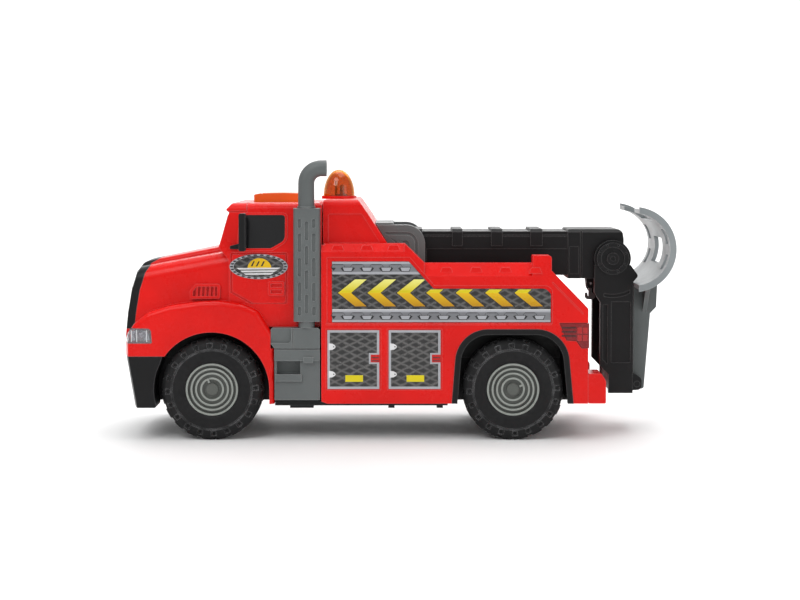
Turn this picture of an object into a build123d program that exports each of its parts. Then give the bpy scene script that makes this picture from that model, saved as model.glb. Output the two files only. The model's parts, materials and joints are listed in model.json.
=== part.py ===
from build123d import *
import os
from math import cos, pi, radians, sin

# Toy tow truck. Millimetres. Front towards -X, right-hand side +Y, up +Z.
# The origin is on the ground under the middle of the overall box.

# ---- driving dimensions ------------------------------------------------
WHEEL_R = 32.4              # tyre radius, and the axle height
FRONT_AXLE_X = -117.6
REAR_AXLE_X = 74.7
TYRE_WIDTH = 22.0
HUB_R = 16.7
AXLE_R = 2.0
FIT = 0.05                  # radial clearance of a shaft in its bearing
GAP = 0.3                   # clearance between parts that move past each other
WALL = 2.5                  # moulded wall

BODY_HALF = 56.0            # half width over the side panels and fenders
PANEL_IN = 53.0             # inner face of the side panels
TRAY_HALF = 28.0            # half width of the chassis tray, between the wheels
TRAY_FRONT_X = -168.0
CAB_HALF = 49.0             # half width of the cab at its waist
ROOF_HALF = 43.0            # half width of the cab roof
TOWER_HALF = 44.0
BASE_Z = 22.0               # underside of the chassis
DECK_Z = 98.0               # top of the deck between the side panels

NOSE_X = -178.4             # foremost point of the grille
NOSE_CORNER_X = -170.8      # front of the fenders at their outer corners
FIREWALL_X = -107.0         # joint between hood and cab
CAB_BACK_X = -47.6
DOOR_SILL_Z = 87.0
ROOF_Z = 151.3
FRONT_ARCH_R = 36.8
TAIL_X = 122.4              # rear face of the body

BOOM_HALF = 20.0
BOOM_TOP_Z = 132.0
BOOM_LOW_Z = 103.2
BOOM_PIVOT = (9.5, 117.5)
BOOM_END_X = 112.6          # rear end of the outer boom
HEAD_END_X = 149.5
ARM_PIVOT = (141.6, 114.4)
ARM_HALF = 25.0
LEVER_PIVOT = (159.3, 30.7)
CRADLE = (152.4, 121.5)     # centre of the half-round cradle
CRADLE_R = 26.0
CRADLE_HALF = 47.0

nodes = {}


# ---- helpers -----------------------------------------------------------
def outline(points):
    """A closed polygon. A point's optional third value rounds that corner."""
    face = make_face(Polyline(*[p[:2] for p in points], close=True))
    for point in points:
        if len(point) == 3:
            corner = face.vertices().sort_by_distance((point[0], point[1], 0))[0]
            face = fillet(corner, point[2])
    return face


def slab(points, y0, y1):
    """An outline in X and Z, thick from y0 to y1."""
    return Pos(0, y1, 0) * extrude(Plane.XZ * outline(points), amount=y1 - y0)


def strip(points, x0, x1):
    """An outline in Y and Z, long from x0 to x1."""
    return Pos(x0, 0, 0) * extrude(Plane.YZ * outline(points), amount=x1 - x0)


def plate(points, z0, z1):
    """An outline in X and Y, thick from z0 to z1."""
    return Pos(0, 0, z0) * extrude(outline(points), amount=z1 - z0)


def block(x0, x1, y0, y1, z0, z1):
    middle = Pos((x0 + x1) / 2, (y0 + y1) / 2, (z0 + z1) / 2)
    return middle * Box(x1 - x0, y1 - y0, z1 - z0)


def rod_y(x, z, r, y0, y1):
    return Pos(x, (y0 + y1) / 2, z) * Rot(90, 0, 0) * Cylinder(r, y1 - y0)


def rod_z(x, y, r, z0, z1):
    return Pos(x, y, (z0 + z1) / 2) * Cylinder(r, z1 - z0)


def rod_x(y, z, r, x0, x1):
    return Pos((x0 + x1) / 2, y, z) * Rot(0, 90, 0) * Cylinder(r, x1 - x0)


def both(shape):
    """The shape and its mirror image on the other side of the truck."""
    return shape + mirror(shape, Plane.XZ)


def pair(name, left):
    """One node that holds the left-hand shape and its mirror image."""
    nodes[name] = both(left)


# ---- chassis, axles and wheels -----------------------------------------
SCREW_SPOTS = [(-160.0, 16.0), (-128.0, 16.0), (46.0, 18.0), (104.0, 18.0)]
SCREW_SPOTS += [(x, -y) for x, y in SCREW_SPOTS]
FLOOR_Z = BASE_Z + 2.5
TRAY_TOP_Z = 50.0
BATTERY_X = (-66.0, -5.0)
BATTERY_HALF = 22.5


def make_chassis():
    tray = block(TRAY_FRONT_X, 119, -TRAY_HALF, TRAY_HALF, BASE_Z, TRAY_TOP_Z)
    tray -= block(TRAY_FRONT_X + WALL, 119 - WALL, -TRAY_HALF + WALL, TRAY_HALF - WALL, FLOOR_Z, TRAY_TOP_Z)
    tray += both(block(-77.4, 33, TRAY_HALF, PANEL_IN - 0.2, BASE_Z, FLOOR_Z))
    tray += both(block(-68, -53, 40, 50, BASE_Z - 2, BASE_Z))
    for x in (-3, 28):
        tray += both(block(x - 2, x + 2, 44, 50, BASE_Z - 2, BASE_Z))
    for x in (FRONT_AXLE_X, REAR_AXLE_X):
        tray += both(rod_y(x, WHEEL_R, 5, TRAY_HALF, TRAY_HALF + 2))
        tray -= rod_y(x, WHEEL_R, AXLE_R + FIT, -40, 40)
    tray -= block(*BATTERY_X, -BATTERY_HALF, BATTERY_HALF, BASE_Z - 1, FLOOR_Z + 1)
    for y in range(-9, 10, 3):
        tray -= block(12, 30, y - 0.6, y + 0.6, BASE_Z - 1, FLOOR_Z + 1)
    for x, y in SCREW_SPOTS:
        tray -= rod_z(x, y, 3.2, BASE_Z - 1, BASE_Z + 1.3)
        tray -= rod_z(x, y, 1.6, BASE_Z, FLOOR_Z + 1)
    return tray


def make_screws():
    screws = []
    for x, y in SCREW_SPOTS:
        head = rod_z(x, y, 3, BASE_Z + 0.1, BASE_Z + 1.3)
        cross = block(x - 1.6, x + 1.6, y - 0.3, y + 0.3, BASE_Z, BASE_Z + 0.7)
        cross += block(x - 0.3, x + 0.3, y - 1.6, y + 1.6, BASE_Z, BASE_Z + 0.7)
        screws.append(head + rod_z(x, y, 1.25, BASE_Z + 1.3, BASE_Z + 12) - cross)
    return Compound(children=[s.solid() for s in screws])


def screw_post(x, y, top):
    return rod_z(x, y, 3.5, FLOOR_Z, top) - rod_z(x, y, 1.3, FLOOR_Z - 1, BASE_Z + 14)


def make_tyre(x):
    """The left tyre: a rounded section with a groove pattern cut across the shoulders."""
    out, inn = -BODY_HALF, -BODY_HALF + TYRE_WIDTH
    section = [(HUB_R + 0.05, out + 1.5), (19.5, out + 0.4), (25, out, 1.5), (29.5, out + 1.2, 2)]
    section += [(WHEEL_R, out + 4.5, 1.2), (WHEEL_R, inn - 4.5, 1.2), (29.5, inn - 1.2, 2)]
    section += [(25, inn), (HUB_R + 0.05, inn)]
    ring = revolve(Plane.XY * outline(section), Axis.Y)
    notch = Pos(WHEEL_R, out, 0) * Box(4.0, 9.0, 1.9)
    for turn in range(0, 360, 15):
        ring -= Rot(0, turn, 0) * notch
        ring -= Rot(0, turn + 7.5, 0) * Pos(WHEEL_R, inn, 0) * Box(4.0, 9.0, 1.9)
    return Pos(x, 0, WHEEL_R) * ring


def make_hub(x):
    """The left hub: a dished disc with raised rings round a centre boss."""
    out, inn = -BODY_HALF, -BODY_HALF + TYRE_WIDTH
    disc = rod_y(0, 0, HUB_R, out + 4, inn - 3)
    disc -= rod_y(0, 0, HUB_R - WALL, out + 7, inn)
    for radius, rise in ((16.7, 2.6), (13.7, 2.0), (10.8, 1.6), (7.6, 1.2)):
        ring = rod_y(0, 0, radius, out + 4 - rise, out + 4) - rod_y(0, 0, radius - 1.2, out, out + 4)
        disc += ring
    disc -= rod_y(0, 0, 5.6, out + 3, out + 4.8)
    disc += rod_y(0, 0, 4.5, out + 7, inn)
    disc -= rod_y(0, 0, AXLE_R + 0.02, out + 3, inn + 1)
    return Pos(x, 0, WHEEL_R) * disc


def make_hub_cap(x):
    """The left centre cap, which hides the end of the axle."""
    out = -BODY_HALF
    cap = rod_y(0, 0, 3.8, out + 3.2, out + 4.8) - rod_y(0, 0, AXLE_R + 0.02, out + 3.9, out + 5)
    return Pos(x, 0, WHEEL_R) * cap


nodes["chassis"] = make_chassis()
nodes["chassis_screws"] = make_screws()
for end, axle_x in (("front", FRONT_AXLE_X), ("rear", REAR_AXLE_X)):
    reach = BODY_HALF - 4.0
    nodes[end + "_axle"] = rod_y(axle_x, WHEEL_R, AXLE_R, -reach, reach)
    pair(end + "_tyres", make_tyre(axle_x))
    pair(end + "_hubs", make_hub(axle_x))
    pair(end + "_hub_caps", make_hub_cap(axle_x))


# ---- hood, fenders, grille and bumper ----------------------------------
NOSE_TURN_R = 210.0         # plan radius of the curved nose
NOSE_PROFILE = [(-172, 15), (NOSE_X, 54), (NOSE_X, 66), (-177, 80), (-174.5, 95), (-171, 106), (-167, 111)]
FENDER_TOP = [(-180, 55), (-174, 64), (-167.3, 74.4, 6), (-159, 81.5, 12), (-145.3, 85.9, 40)]
FENDER_TOP += [(-127.1, 88.5, 60), (-112.5, 89.2, 40), (-98.1, 87.2, 18), (-87.9, 82.6, 8), (-77.7, 66, 12)]
WELL_R = FRONT_ARCH_R + 2.0
GRILLE_DEPTH = 5.0


def nose(inset):
    """The curved nose: its profile turned about a vertical axis behind the cab."""
    centre = NOSE_X + NOSE_TURN_R
    edge = [(centre - x - inset, z) for x, z in NOSE_PROFILE]
    profile = [(0, 15)] + edge + [(150, 135), (0, 135)]
    return Pos(centre, 0, 0) * revolve(Plane.XZ * outline(profile), Axis.Z)


def section(half, low, top, corner):
    return outline([(-half, low), (-half, top, corner), (half, top, corner), (half, low)])


def tapered(front, rear, x0, x1):
    """A straight-sided body between two sections that have the same corners."""
    first = Plane.YZ.offset(x0) * section(*front)
    last = Plane.YZ.offset(x1) * section(*rear)
    return loft([first, last])


def make_fender(y_out, inset, y_in=-38.0):
    """One fender with its rear strip, as a solid or, inset, as its own hollow."""
    top = [(x, z - inset, *rest) for x, z, *rest in FENDER_TOP]
    top[-1] = (top[-1][0] - inset, *top[-1][1:])
    rear = [(-77.7 - inset, 23.3), (-80.8, 23.3), (-80.8, WHEEL_R)]
    low = [(FRONT_AXLE_X, WHEEL_R), (-149.0, 53.8 + inset), (-180, 53.8 + inset)]
    return slab(top + rear + low, y_out, y_in)


def hood_core():
    """The hood between the fenders, with a low raised panel along its middle."""
    core = tapered((40, 50, 107.5, 9), (46.5, 50, 120.5, 9), -176, FIREWALL_X)
    return core + tapered((17, 60, 110, 3), (25, 60, 123, 3), -176, FIREWALL_X - 4)


def grille_zone(inset):
    """Where the grille surround stands: between the fenders low down, full width above them."""
    low = block(-190, -150, -38 + inset, 38 - inset, 56.9 + inset, 80)
    high = block(-190, -150, -60, 60, 70, 120)
    return (low + high) - both(make_fender(-BODY_HALF - 1, -inset))


def lamp_outline(inset):
    return [(-180, 62 + inset), (-180, 72 - inset), (-156.2 - inset, 71.6 - inset, 2.5), (-155.4 - inset, 62 + inset, 1)]


def make_hood():
    core = hood_core()
    fender = make_fender(-BODY_HALF, 0)
    ridge = [e for e in fender.edges() if abs(e.center().Y + BODY_HALF) < 0.1 and e.center().Z > 72]
    fender = fillet(ridge, 3.5)
    hood = core + both(fender)
    hood &= nose(0)
    inner = tapered((37.5, 20, 105, 7), (44, 20, 118, 7), -174, FIREWALL_X + 1)
    hollow = inner + both(make_fender(-53.5, WALL, -30) - rod_y(FRONT_AXLE_X, WHEEL_R, WELL_R, -60, -20))
    hood -= hollow & nose(7)
    hood -= both(rod_y(FRONT_AXLE_X, WHEEL_R, FRONT_ARCH_R, -60, -20))
    hood -= both(rod_y(FRONT_AXLE_X, WHEEL_R, WELL_R, -53.5, -20))
    hood -= both(slab([(-152, 20), (-152, 54), (-82, 54), (-82, 20)], -53.5, -20))
    hood -= both(slab(lamp_outline(0), -60, -41))
    hood -= (nose(-1) - nose(GRILLE_DEPTH)) & grille_zone(0)
    hood -= block(-190, -150, -38, 38, 40, 57)
    hood -= block(-200, -146, -60, 60, 20, 53.8)
    hood -= both(block(-80, -70, -60, -38, 58.8, 73))
    hood -= cab_form(CAB_SIDE, 0)
    for side in (-1, 1):
        hood += vent(side)
    for x, y in SCREW_SPOTS[:2] + SCREW_SPOTS[4:6]:
        hood += screw_post(x, y, 107 if x < -140 else 116)
    return hood


def vent(side):
    """A raised frame with five upright fins on the side of the hood."""
    edge = [(-132.2, 90, 1), (-132.2, 95, 1), (-128.4, 99.4, 1.5), (-112.8, 99.4, 1.5), (-112.8, 90, 1.5)]
    frame = slab(edge, -48.0, -43)
    frame -= slab([(-130.2, 91.7), (-130.2, 94.8), (-127.6, 97.7), (-114.5, 97.7), (-114.5, 91.7)], -49, -45.4)
    for i in range(5):
        x = -128.6 + 2.75 * i
        frame += slab([(x, 91.5), (x + 0.9, 97.9), (x + 1.6, 97.9), (x + 1.5, 91.5)], -47.4, -44)
    return frame if side < 0 else mirror(frame, Plane.XZ)


def make_wells():
    ring = rod_y(FRONT_AXLE_X, WHEEL_R, WELL_R, -53.4, -TRAY_HALF - 0.2)
    ring -= rod_y(FRONT_AXLE_X, WHEEL_R, FRONT_ARCH_R, -60, -20)
    ring &= block(-200, -82.5, -60, -20, 54.5, 100)
    wall = rod_y(FRONT_AXLE_X, WHEEL_R, FRONT_ARCH_R, -30.2, -TRAY_HALF - 0.2) & block(-200, 0, -60, 0, 50.2, 100)
    return both(ring + wall)


def make_grille():
    band = (nose(0) - nose(GRILLE_DEPTH - 0.15)) & hood_core() & grille_zone(0.2)
    for row in range(5):
        z = 62.5 + 8.6 * row
        band -= (nose(-1) - nose(2.6)) & block(-190, -150, -33, 33, z, z + 5.6)
    for y in (-12, 12):
        band += (nose(0.4) - nose(3)) & block(-190, -150, y - 1.2, y + 1.2, 60, 105)
    return band


def make_bumper():
    form = (nose(0) - nose(6)) & block(-200, -140, -BODY_HALF, BODY_HALF, 20.8, 53.6)
    side = slab([(-174, 20.8), (-174, 53.6), (-149, 53.6), (-153.2, 40), (-153.2, 20.8, 1)], -BODY_HALF, -36)
    side = both(side & nose(0))
    middle = block(-190, -150, -37.9, 37.9, 53.6, 57) & (nose(0) - nose(6))
    bumper = form + side + middle
    bumper -= both(rod_y(FRONT_AXLE_X, WHEEL_R, FRONT_ARCH_R, -60, -30))
    for y in (-26, 26):
        bumper -= rod_x(y, 37, 5, -190, -172)
        bumper += rod_x(y, 37, 3.6, -173.2, -170) - rod_x(y, 37, 2.4, -190, -172.4)
    bumper -= (nose(-1) - nose(1.5)) & block(-200, -150, -17, 17, 28, 46)
    bumper -= block(TRAY_FRONT_X - 0.1, -140, -TRAY_HALF - 0.1, TRAY_HALF + 0.1, 15, TRAY_TOP_Z)
    return bumper


nodes["front_wheel_wells"] = make_wells()
nodes["grille"] = make_grille()
nodes["front_bumper"] = make_bumper()
lamp_space = nose(0) & make_fender(-BODY_HALF, 0.1)
lamp = slab(lamp_outline(0.1), -BODY_HALF, -41.2) & lamp_space
lamp -= slab(lamp_outline(1.6), -BODY_HALF + 2, -30) & nose(2)
pair("headlamp_lenses", lamp)
bowl = slab(lamp_outline(1.8), -BODY_HALF + 2.2, -45) & nose(2.2) & make_fender(-BODY_HALF, 2.5)
bowl -= Pos(-163.5, -53, 67) * Sphere(4)
nodes["headlamp_reflectors"] = both(bowl)


# ---- cab ----------------------------------------------------------------
CAB_SIDE = [(FIREWALL_X, DOOR_SILL_Z), (FIREWALL_X, 115), (-113.6, 123, 1), (-107.2, 145.2)]
CAB_SIDE += [(-109.6, 146.6, 1), (-105.2, ROOF_Z, 3), (CAB_BACK_X, ROOF_Z, 3)]
CAB_SIDE += [(CAB_BACK_X, DOOR_SILL_Z)]
CAB_INNER = [(FIREWALL_X + WALL, DOOR_SILL_Z - 1), (FIREWALL_X + WALL, 118), (-110.6, 124), (-104.1, 146)]
CAB_INNER += [(-103.2, ROOF_Z - WALL), (CAB_BACK_X - WALL, ROOF_Z - WALL), (CAB_BACK_X - WALL, DOOR_SILL_Z - 1)]
WINDOW = [(-100.2, 122.4, 1), (-98.6, 143.6, 1.5), (-71.2, 143.6, 2), (-71.2, 127.5, 5), (-80, 122.4, 3)]
DOOR = [(-106.0, 94.0), (-92.0, 85.9), (-69.4, 85.9, 3), (-69.4, 119.6, 1), (-106.0, 119.6, 1)]
WINDOW_RIM = [(-101.9, 120.8, 2), (-100.3, 144.9, 3), (-69.6, 144.9, 3), (-69.6, 126.8, 6), (-79.3, 120.8, 4)]
BUTTON = (-93.6, -63.6, 20.0)   # front, rear and half width of the roof button
BUTTON_TRAVEL = 2.5
BOARD_Z = 131.6                 # top of the circuit board


def cab_form(side, sink):
    half, roof = CAB_HALF - sink, ROOF_HALF - sink
    top = ROOF_Z - sink
    ring = [(-half, 80), (-half, 121), (-roof, top, 5), (roof, top, 5), (half, 121), (half, 80)]
    return strip(ring, -120, -40) & slab(side, -70, 70)


def door_detail():
    """Shut line, raised handle plate with two slots, and the frame under the window."""
    groove = slab(DOOR, -60, -CAB_HALF + 1.0)
    inner = [(-104.7, 94.7), (-91.7, 87.2), (-70.7, 87.2, 2), (-70.7, 118.4), (-104.7, 118.4)]
    groove -= slab(inner, -61, -CAB_HALF + 2)
    handle = slab([(-81.8, 92.2, 1), (-81.8, 101.2, 1), (-71.4, 101.2, 1), (-71.4, 92.2, 1)], -CAB_HALF - 1.5, -CAB_HALF)
    for z in (93.6, 97.5):
        handle -= block(-80.2, -73.0, -CAB_HALF - 2, -CAB_HALF - 0.2, z, z + 2.3)
    return groove, handle


def make_cab():
    shell = cab_form(CAB_SIDE, 0) - cab_form(CAB_INNER, WALL)
    side_tool = slab(WINDOW, -60, 60)
    front_tool = block(-120, -100, -38, 38, 126, 143.4)
    front_tool &= block(-120, -104, -60, 60, 0, 200)
    side_glass = shell & side_tool
    front_glass = shell & front_tool
    front_glass += Pos(-0.9, 0, 0) * front_glass
    groove, handle = door_detail()
    rim = (cab_form(CAB_SIDE, -0.5) - cab_form(CAB_SIDE, 1)) & slab(WINDOW_RIM, -60, 60)
    visor_line = slab([(-96.1, 145.6), (-96.1, 153), (-95.3, 153), (-95.3, 145.6)], -60, 60)
    visor_line += slab([(-112, 145.4), (-112, 146.2), (-95.3, 146.2), (-95.3, 145.4)], -60, 60)
    visor_line &= cab_form(CAB_SIDE, -1) - cab_form(CAB_SIDE, 0.7)
    shell = (shell + rim) - side_tool - front_tool - both(groove) - visor_line + both(handle)
    # The sill and the rear wall carry on below the door, down to the step tanks.
    sill = block(FIREWALL_X, CAB_BACK_X, -CAB_HALF, -CAB_HALF + WALL, 60, DOOR_SILL_Z)
    shell += both(sill - make_fender(-60, 0, -30))
    shell += block(CAB_BACK_X - WALL, CAB_BACK_X, -CAB_HALF, CAB_HALF, 60, DOOR_SILL_Z)
    shell -= both(block(-110, -40, -60, -43.9, 50, 72.1))
    x0, x1, half = BUTTON
    shell -= block(x0, x1, -half, half, ROOF_Z - 10, ROOF_Z + 1)
    for x, y in ((-98, 27), (-98, -27), (-56, 27), (-56, -27)):
        shell += rod_z(x, y, 2.5, BOARD_Z, ROOF_Z - WALL)
    for z in (133, 138):
        shell -= both(block(CAB_BACK_X - 9, CAB_BACK_X - 4, -60, -CAB_HALF + 5.0, z, z + 1.2))
    return shell, side_glass, front_glass


def make_button():
    """Press cap with a retaining flange under the roof and a short stem."""
    x0, x1, half = BUTTON
    profile = [(x0 + GAP, 146), (x0 + GAP, 156.2, 0.7), (x0 + 5, 157), (x0 + 5.6, 156.3), (x0 + 6.2, 157)]
    profile += [(x0 + 20, 157.3), (x1 - GAP, 157, 0.8), (x1 - GAP, 146)]
    cap = slab(profile, -half + GAP, half - GAP)
    cap -= block(x0 + 2.5, x1 - 2.5, -half + 2.5, half - 2.5, 140, 153)
    flange = block(x0 - 1.5, x1 + 1.5, -half - 1.5, half + 1.5, 144.4, ROOF_Z - WALL - GAP)
    flange -= block(x0 + 2.5, x1 - 2.5, -half + 2.5, half - 2.5, 140, 153)
    middle = (x0 + x1) / 2
    stem = rod_z(middle, 0, 2.5, 140.2, 153) + rod_z(middle, 0, 7.5, 150.5, 153)
    return cap + flange + stem


def make_button_spring():
    turns = Helix(pitch=3.3, height=16.5, radius=5.2)
    start = Plane(turns @ 0, z_dir=turns % 0)
    coil = sweep(start * Circle(0.45), path=turns)
    middle = (BUTTON[0] + BUTTON[1]) / 2
    return Pos(middle, 0, BOARD_Z + 1.2) * coil


def make_board():
    middle = (BUTTON[0] + BUTTON[1]) / 2
    board = block(-102, -52, -31, 31, BOARD_Z - 1.6, BOARD_Z - 0.0)
    chip = block(-64, -56, -8, 4, BOARD_Z - 3.2, BOARD_Z - 1.6)
    switch = block(middle - 3, middle + 3, -3, 3, BOARD_Z, BOARD_Z + 4)
    return board + chip, switch + rod_z(middle, 0, 1.6, BOARD_Z + 4, BOARD_Z + 5)


nodes["hood"] = make_hood()
nodes["cab_shell"], glazing, windscreen = make_cab()
nodes["side_windows"] = glazing
nodes["windscreen"] = windscreen
nodes["roof_button"] = make_button()
nodes["button_spring"] = make_button_spring()
nodes["circuit_board"], nodes["sound_switch"] = make_board()

badge = Pos(0, -CAB_HALF, 0) * extrude(Plane.XZ * (Pos(-87.9, 110.7) * Ellipse(18.6, 8.0)), amount=0.3)
nodes["door_badges"] = both(badge)

mirror_head = slab([(-99.6, 121, 1), (-99.6, 145, 1), (-95.4, 145, 1), (-95.4, 121, 1)], -60, -52.5)
mirror_head -= block(-96.2, -95, -59.2, -53.3, 123.5, 142.5)
for arm_z in (124, 141):
    mirror_head += block(-98.6, -96.4, -52.5, -48.6 + 0.2 * (arm_z - 121), arm_z, arm_z + 2)
mirror_head += slab([(-106, 122), (-106, 124), (-98, 126), (-98, 122)], -51.5, -CAB_HALF)
mirror_head -= nodes["cab_shell"] + glazing
pair("side_mirrors", mirror_head)


# ---- beacon tower, exhaust and steps -----------------------------------
TOWER_FRONT_X = -46.9
BEACON_X = -38.2
BEACON_R = 10.45
BEACON_BASE_Z = 155.0
EXHAUST_X = -57.1
EXHAUST_Y = -53.0


def make_tower():
    side = [(TOWER_FRONT_X, DECK_Z), (TOWER_FRONT_X, 153.5, 2), (-24.5, 153.5, 3), (-18.3, 144.6)]
    side += [(-6, 125.6), (-6, DECK_Z)]
    half = TOWER_HALF
    ring = [(-half, DECK_Z), (-half, 153.5, 5), (half, 153.5, 5), (half, DECK_Z)]
    tower = strip(ring, -60, 20) & slab(side, -60, 60)
    inner_side = [(-44.4, DECK_Z - 1), (-44.4, 151), (-25.6, 151), (-20.3, 143.5), (-8.5, 125), (-8.5, DECK_Z - 1)]
    tower -= slab(inner_side, -half + WALL, half - WALL)
    step = slab([(-43.5, 126), (-43.5, 144.2, 1), (-22, 144.2, 1), (-10.5, 126)], -half - 1, -half + 0.8)
    tower -= both(step)
    tower += rod_z(BEACON_X, 0, BEACON_R + 1.2, 153, BEACON_BASE_Z)
    tower -= rod_z(BEACON_X, 0, 6, 150, 160)
    return tower


def make_beacon():
    """Domed lens with a hollow inside, and the reflector and lamp under it."""
    def dome(r, height):
        egg = scale(Sphere(1), by=(r, r, height))
        return Pos(BEACON_X, 0, BEACON_BASE_Z) * (egg & block(-20, 20, -20, 20, 0, 30))
    lens = dome(BEACON_R, 17.6) - dome(BEACON_R - 1.6, 15.8)
    lens -= rod_z(BEACON_X, 0, BEACON_R - 1.7, 150, BEACON_BASE_Z + 1)
    dish = slab([(-40.6, 155.2), (-40.6, 165, 1), (-39.4, 165), (-39.4, 156.2), (-33, 156.2), (-33, 155.2)], -5.2, 5.2)
    lamp = rod_z(-36.2, 0, 1.5, 156.2, 161) + Pos(-36.2, 0, 161) * Sphere(1.5)
    return lens, dish + lamp


def make_exhaust():
    x, y, r = EXHAUST_X, EXHAUST_Y, 5.2
    bend = 9.5
    top = 173.6
    path = FilletPolyline((x, y, 148.4), (x, y, top), (x + 13, y, top), radius=bend)
    pipe = sweep(Plane(path @ 0, z_dir=path % 0) * Circle(r), path=path)
    bore = Pos(x + 13, y, top) * Rot(0, 90, 0) * Cylinder(r - 1.2, 8)
    lower = rod_z(x, y, r, 72.2, 76.1)
    collar = rod_z(x, y, r + 0.7, 148.4, 149.4)
    return (pipe - bore) + collar + lower - block(x - 10, x + 10, -CAB_HALF - 0.1, 0, 60, 125)


def make_shield():
    """Upright box shield with three columns of cooling slots."""
    front, rear, low, high = -65.2, -48.2, 76.3, 148.2
    out = -58.6
    ring = [(front, -49.4), (front, out, 2.2), (rear, out, 2.2), (rear, -49.4)]
    shield = plate(ring, low, high)
    shield -= plate([(front + 1.6, -47), (front + 1.6, out + 1.6), (rear - 1.6, out + 1.6), (rear - 1.6, -47)],
                    low - 1, high - 1.6)
    outer = [(138.7, 2.9), (126.5, 6), (110.9, 6), (95.3, 6), (83.0, 2.9)]
    centre = [(134.0 - 15.5 * i, 6) for i in range(4)]
    for x, slots in ((-61.2, outer), (-56.7, centre), (-52.1, outer)):
        for z, reach in slots:
            slot = [(x - 1.2, z - reach, 1.1), (x - 1.2, z + reach, 1.1)]
            slot += [(x + 1.2, z + reach, 1.1), (x + 1.2, z - reach, 1.1)]
            shield -= slab(slot, -60, out + 0.9)
    shield -= cab_form(CAB_SIDE, -0.2)
    shield -= rod_z(EXHAUST_X, EXHAUST_Y, 5.3, 70, 77.9)
    return shield


def make_step_tank():
    """Fuel tank above, a ledge, a foot recess and the step bar below."""
    tank = slab([(-77.5, 59), (-79.8, 62), (-79.8, 72, 1.5), (-48.6, 72, 1.5), (-48.6, 59)], -BODY_HALF - 0.6, -44)
    panel = slab([(-77.5, 25.7), (-77.5, 59), (-48.6, 59), (-48.6, 25.7)], -BODY_HALF + 1, -44)
    panel += slab([(-77.5, 51), (-77.5, 58.3), (-48.6, 58.3), (-48.6, 51)], -BODY_HALF - 0.6, -50)
    panel += slab([(-77.0, 38), (-77.0, 42.4), (-60.2, 42.4), (-60.2, 38)], -BODY_HALF - 0.6, -50)
    panel -= block(-76.2, -61, -60, -49, 42.4, 50.9)
    panel += block(-59, -52.8, -BODY_HALF - 1.4, -BODY_HALF, 49.8, 53.4)
    tank -= slab([(-81, 62.4), (-81, 73), (-66.7, 73), (-66.7, 62.4, 2.5)], -60, -BODY_HALF + 1.2)
    tank -= block(-66.0, -65.4, -60, -BODY_HALF + 0.2, 59.6, 73)
    return tank + panel


nodes["beacon_tower"] = make_tower()
nodes["beacon_lens"], nodes["beacon_reflector"] = make_beacon()
nodes["exhaust_stack"] = make_exhaust()
nodes["exhaust_shield"] = make_shield()
pair("step_tanks", make_step_tank())


# ---- wrecker body -------------------------------------------------------
RAIL_HIGH_Z = 125.6
RAIL_LOW_Z = 113.1
BODY_SIDE = [(CAB_BACK_X, 25), (CAB_BACK_X, RAIL_HIGH_Z), (5.7, RAIL_HIGH_Z), (18.4, RAIL_LOW_Z)]
BODY_SIDE += [(86.8, RAIL_LOW_Z), (86.8, 118.2, 1), (98.9, 118.2, 2), (98.9, 108.6), (TAIL_X, 84.4, 3)]
BODY_SIDE += [(TAIL_X, 75.2), (104, 75.2), (108.4, 64), (114.8, 63.6), (118, 59), (TAIL_X, 59)]
BODY_SIDE += [(TAIL_X, 23.6), (34.6, 23.6), (-44, 23.6)]
REAR_ARCH = [(34.4, 10), (39.2, 71.2, 21), (108.6, 71.2, 21), (114.4, 10)]
TAIL_LAMP = [(104.2, 75), (TAIL_X + 0.5, 75), (TAIL_X + 0.5, 59.2), (118.1, 59.2), (115, 63.8), (108.6, 64.2)]


def make_rail():
    """The wide cap along the top of a side panel, which follows the steps of its outline."""
    top = [(-46, RAIL_HIGH_Z), (5.7, RAIL_HIGH_Z), (18.4, RAIL_LOW_Z), (86.8, RAIL_LOW_Z), (86.8, 118.2, 1)]
    top += [(98.9, 118.2, 2), (98.9, 108.6), (TAIL_X, 84.4, 3), (TAIL_X, 78)]
    return slab(top + [(95.5, 104.5), (16.5, 104.5), (2.5, 118.5), (-40, 118.5)], -BODY_HALF, -TOWER_HALF - 0.2)


def bevel_tools():
    """Wedges that slope the outer top of each rail."""
    high = strip([(-58, RAIL_HIGH_Z - 5), (-BODY_HALF, RAIL_HIGH_Z - 5), (-52.5, RAIL_HIGH_Z), (-52.5, 130), (-58, 130)],
                 -60, 5.2)
    low = strip([(-58, RAIL_LOW_Z - 8), (-BODY_HALF, RAIL_LOW_Z - 8), (-51, RAIL_LOW_Z), (-51, 114), (-58, 114)],
                18.0, 86.8)
    return high + low


def make_side_panel():
    panel = slab(BODY_SIDE, -BODY_HALF, -PANEL_IN) - slab(REAR_ARCH, -60, -40)
    panel += make_rail() - bevel_tools()
    panel -= bevel_tools()
    # A framed recess holds the long decal.
    recess = [(-43.9, 75), (-43.9, 117), (8.8, 117), (24.5, 99), (96.6, 99, 5), (99.5, 96, 3), (99.5, 75)]
    panel -= slab(recess, -60, -BODY_HALF + 0.6)
    for x in (-37.1, -18.6, -1.5):
        panel += bump(x, 122.6, -55.4)
    for x in (32.1, 50.9, 69.7):
        panel += bump(x, 108.4, -54.6)
    panel += bump(88.6, 108.4, -57)
    panel += slab([(-44.5, 74), (-44.5, 75), (99, 75), (99, 74)], -BODY_HALF - 0.5, -BODY_HALF + 0.1)
    for x0, x1 in ((-44.6, -9.6), (-5.6, 29.3)):
        panel -= block(x0, x1, -60, -BODY_HALF + 0.5, 32.4, 71.4)
    # Rear quarter: a bevelled inner line beside the sloping edge.
    panel -= slab([(99.5, 101.5), (119, 81.8), (119, 80.6), (99.5, 100.3)], -60, -BODY_HALF + 0.6)
    return panel


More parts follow.
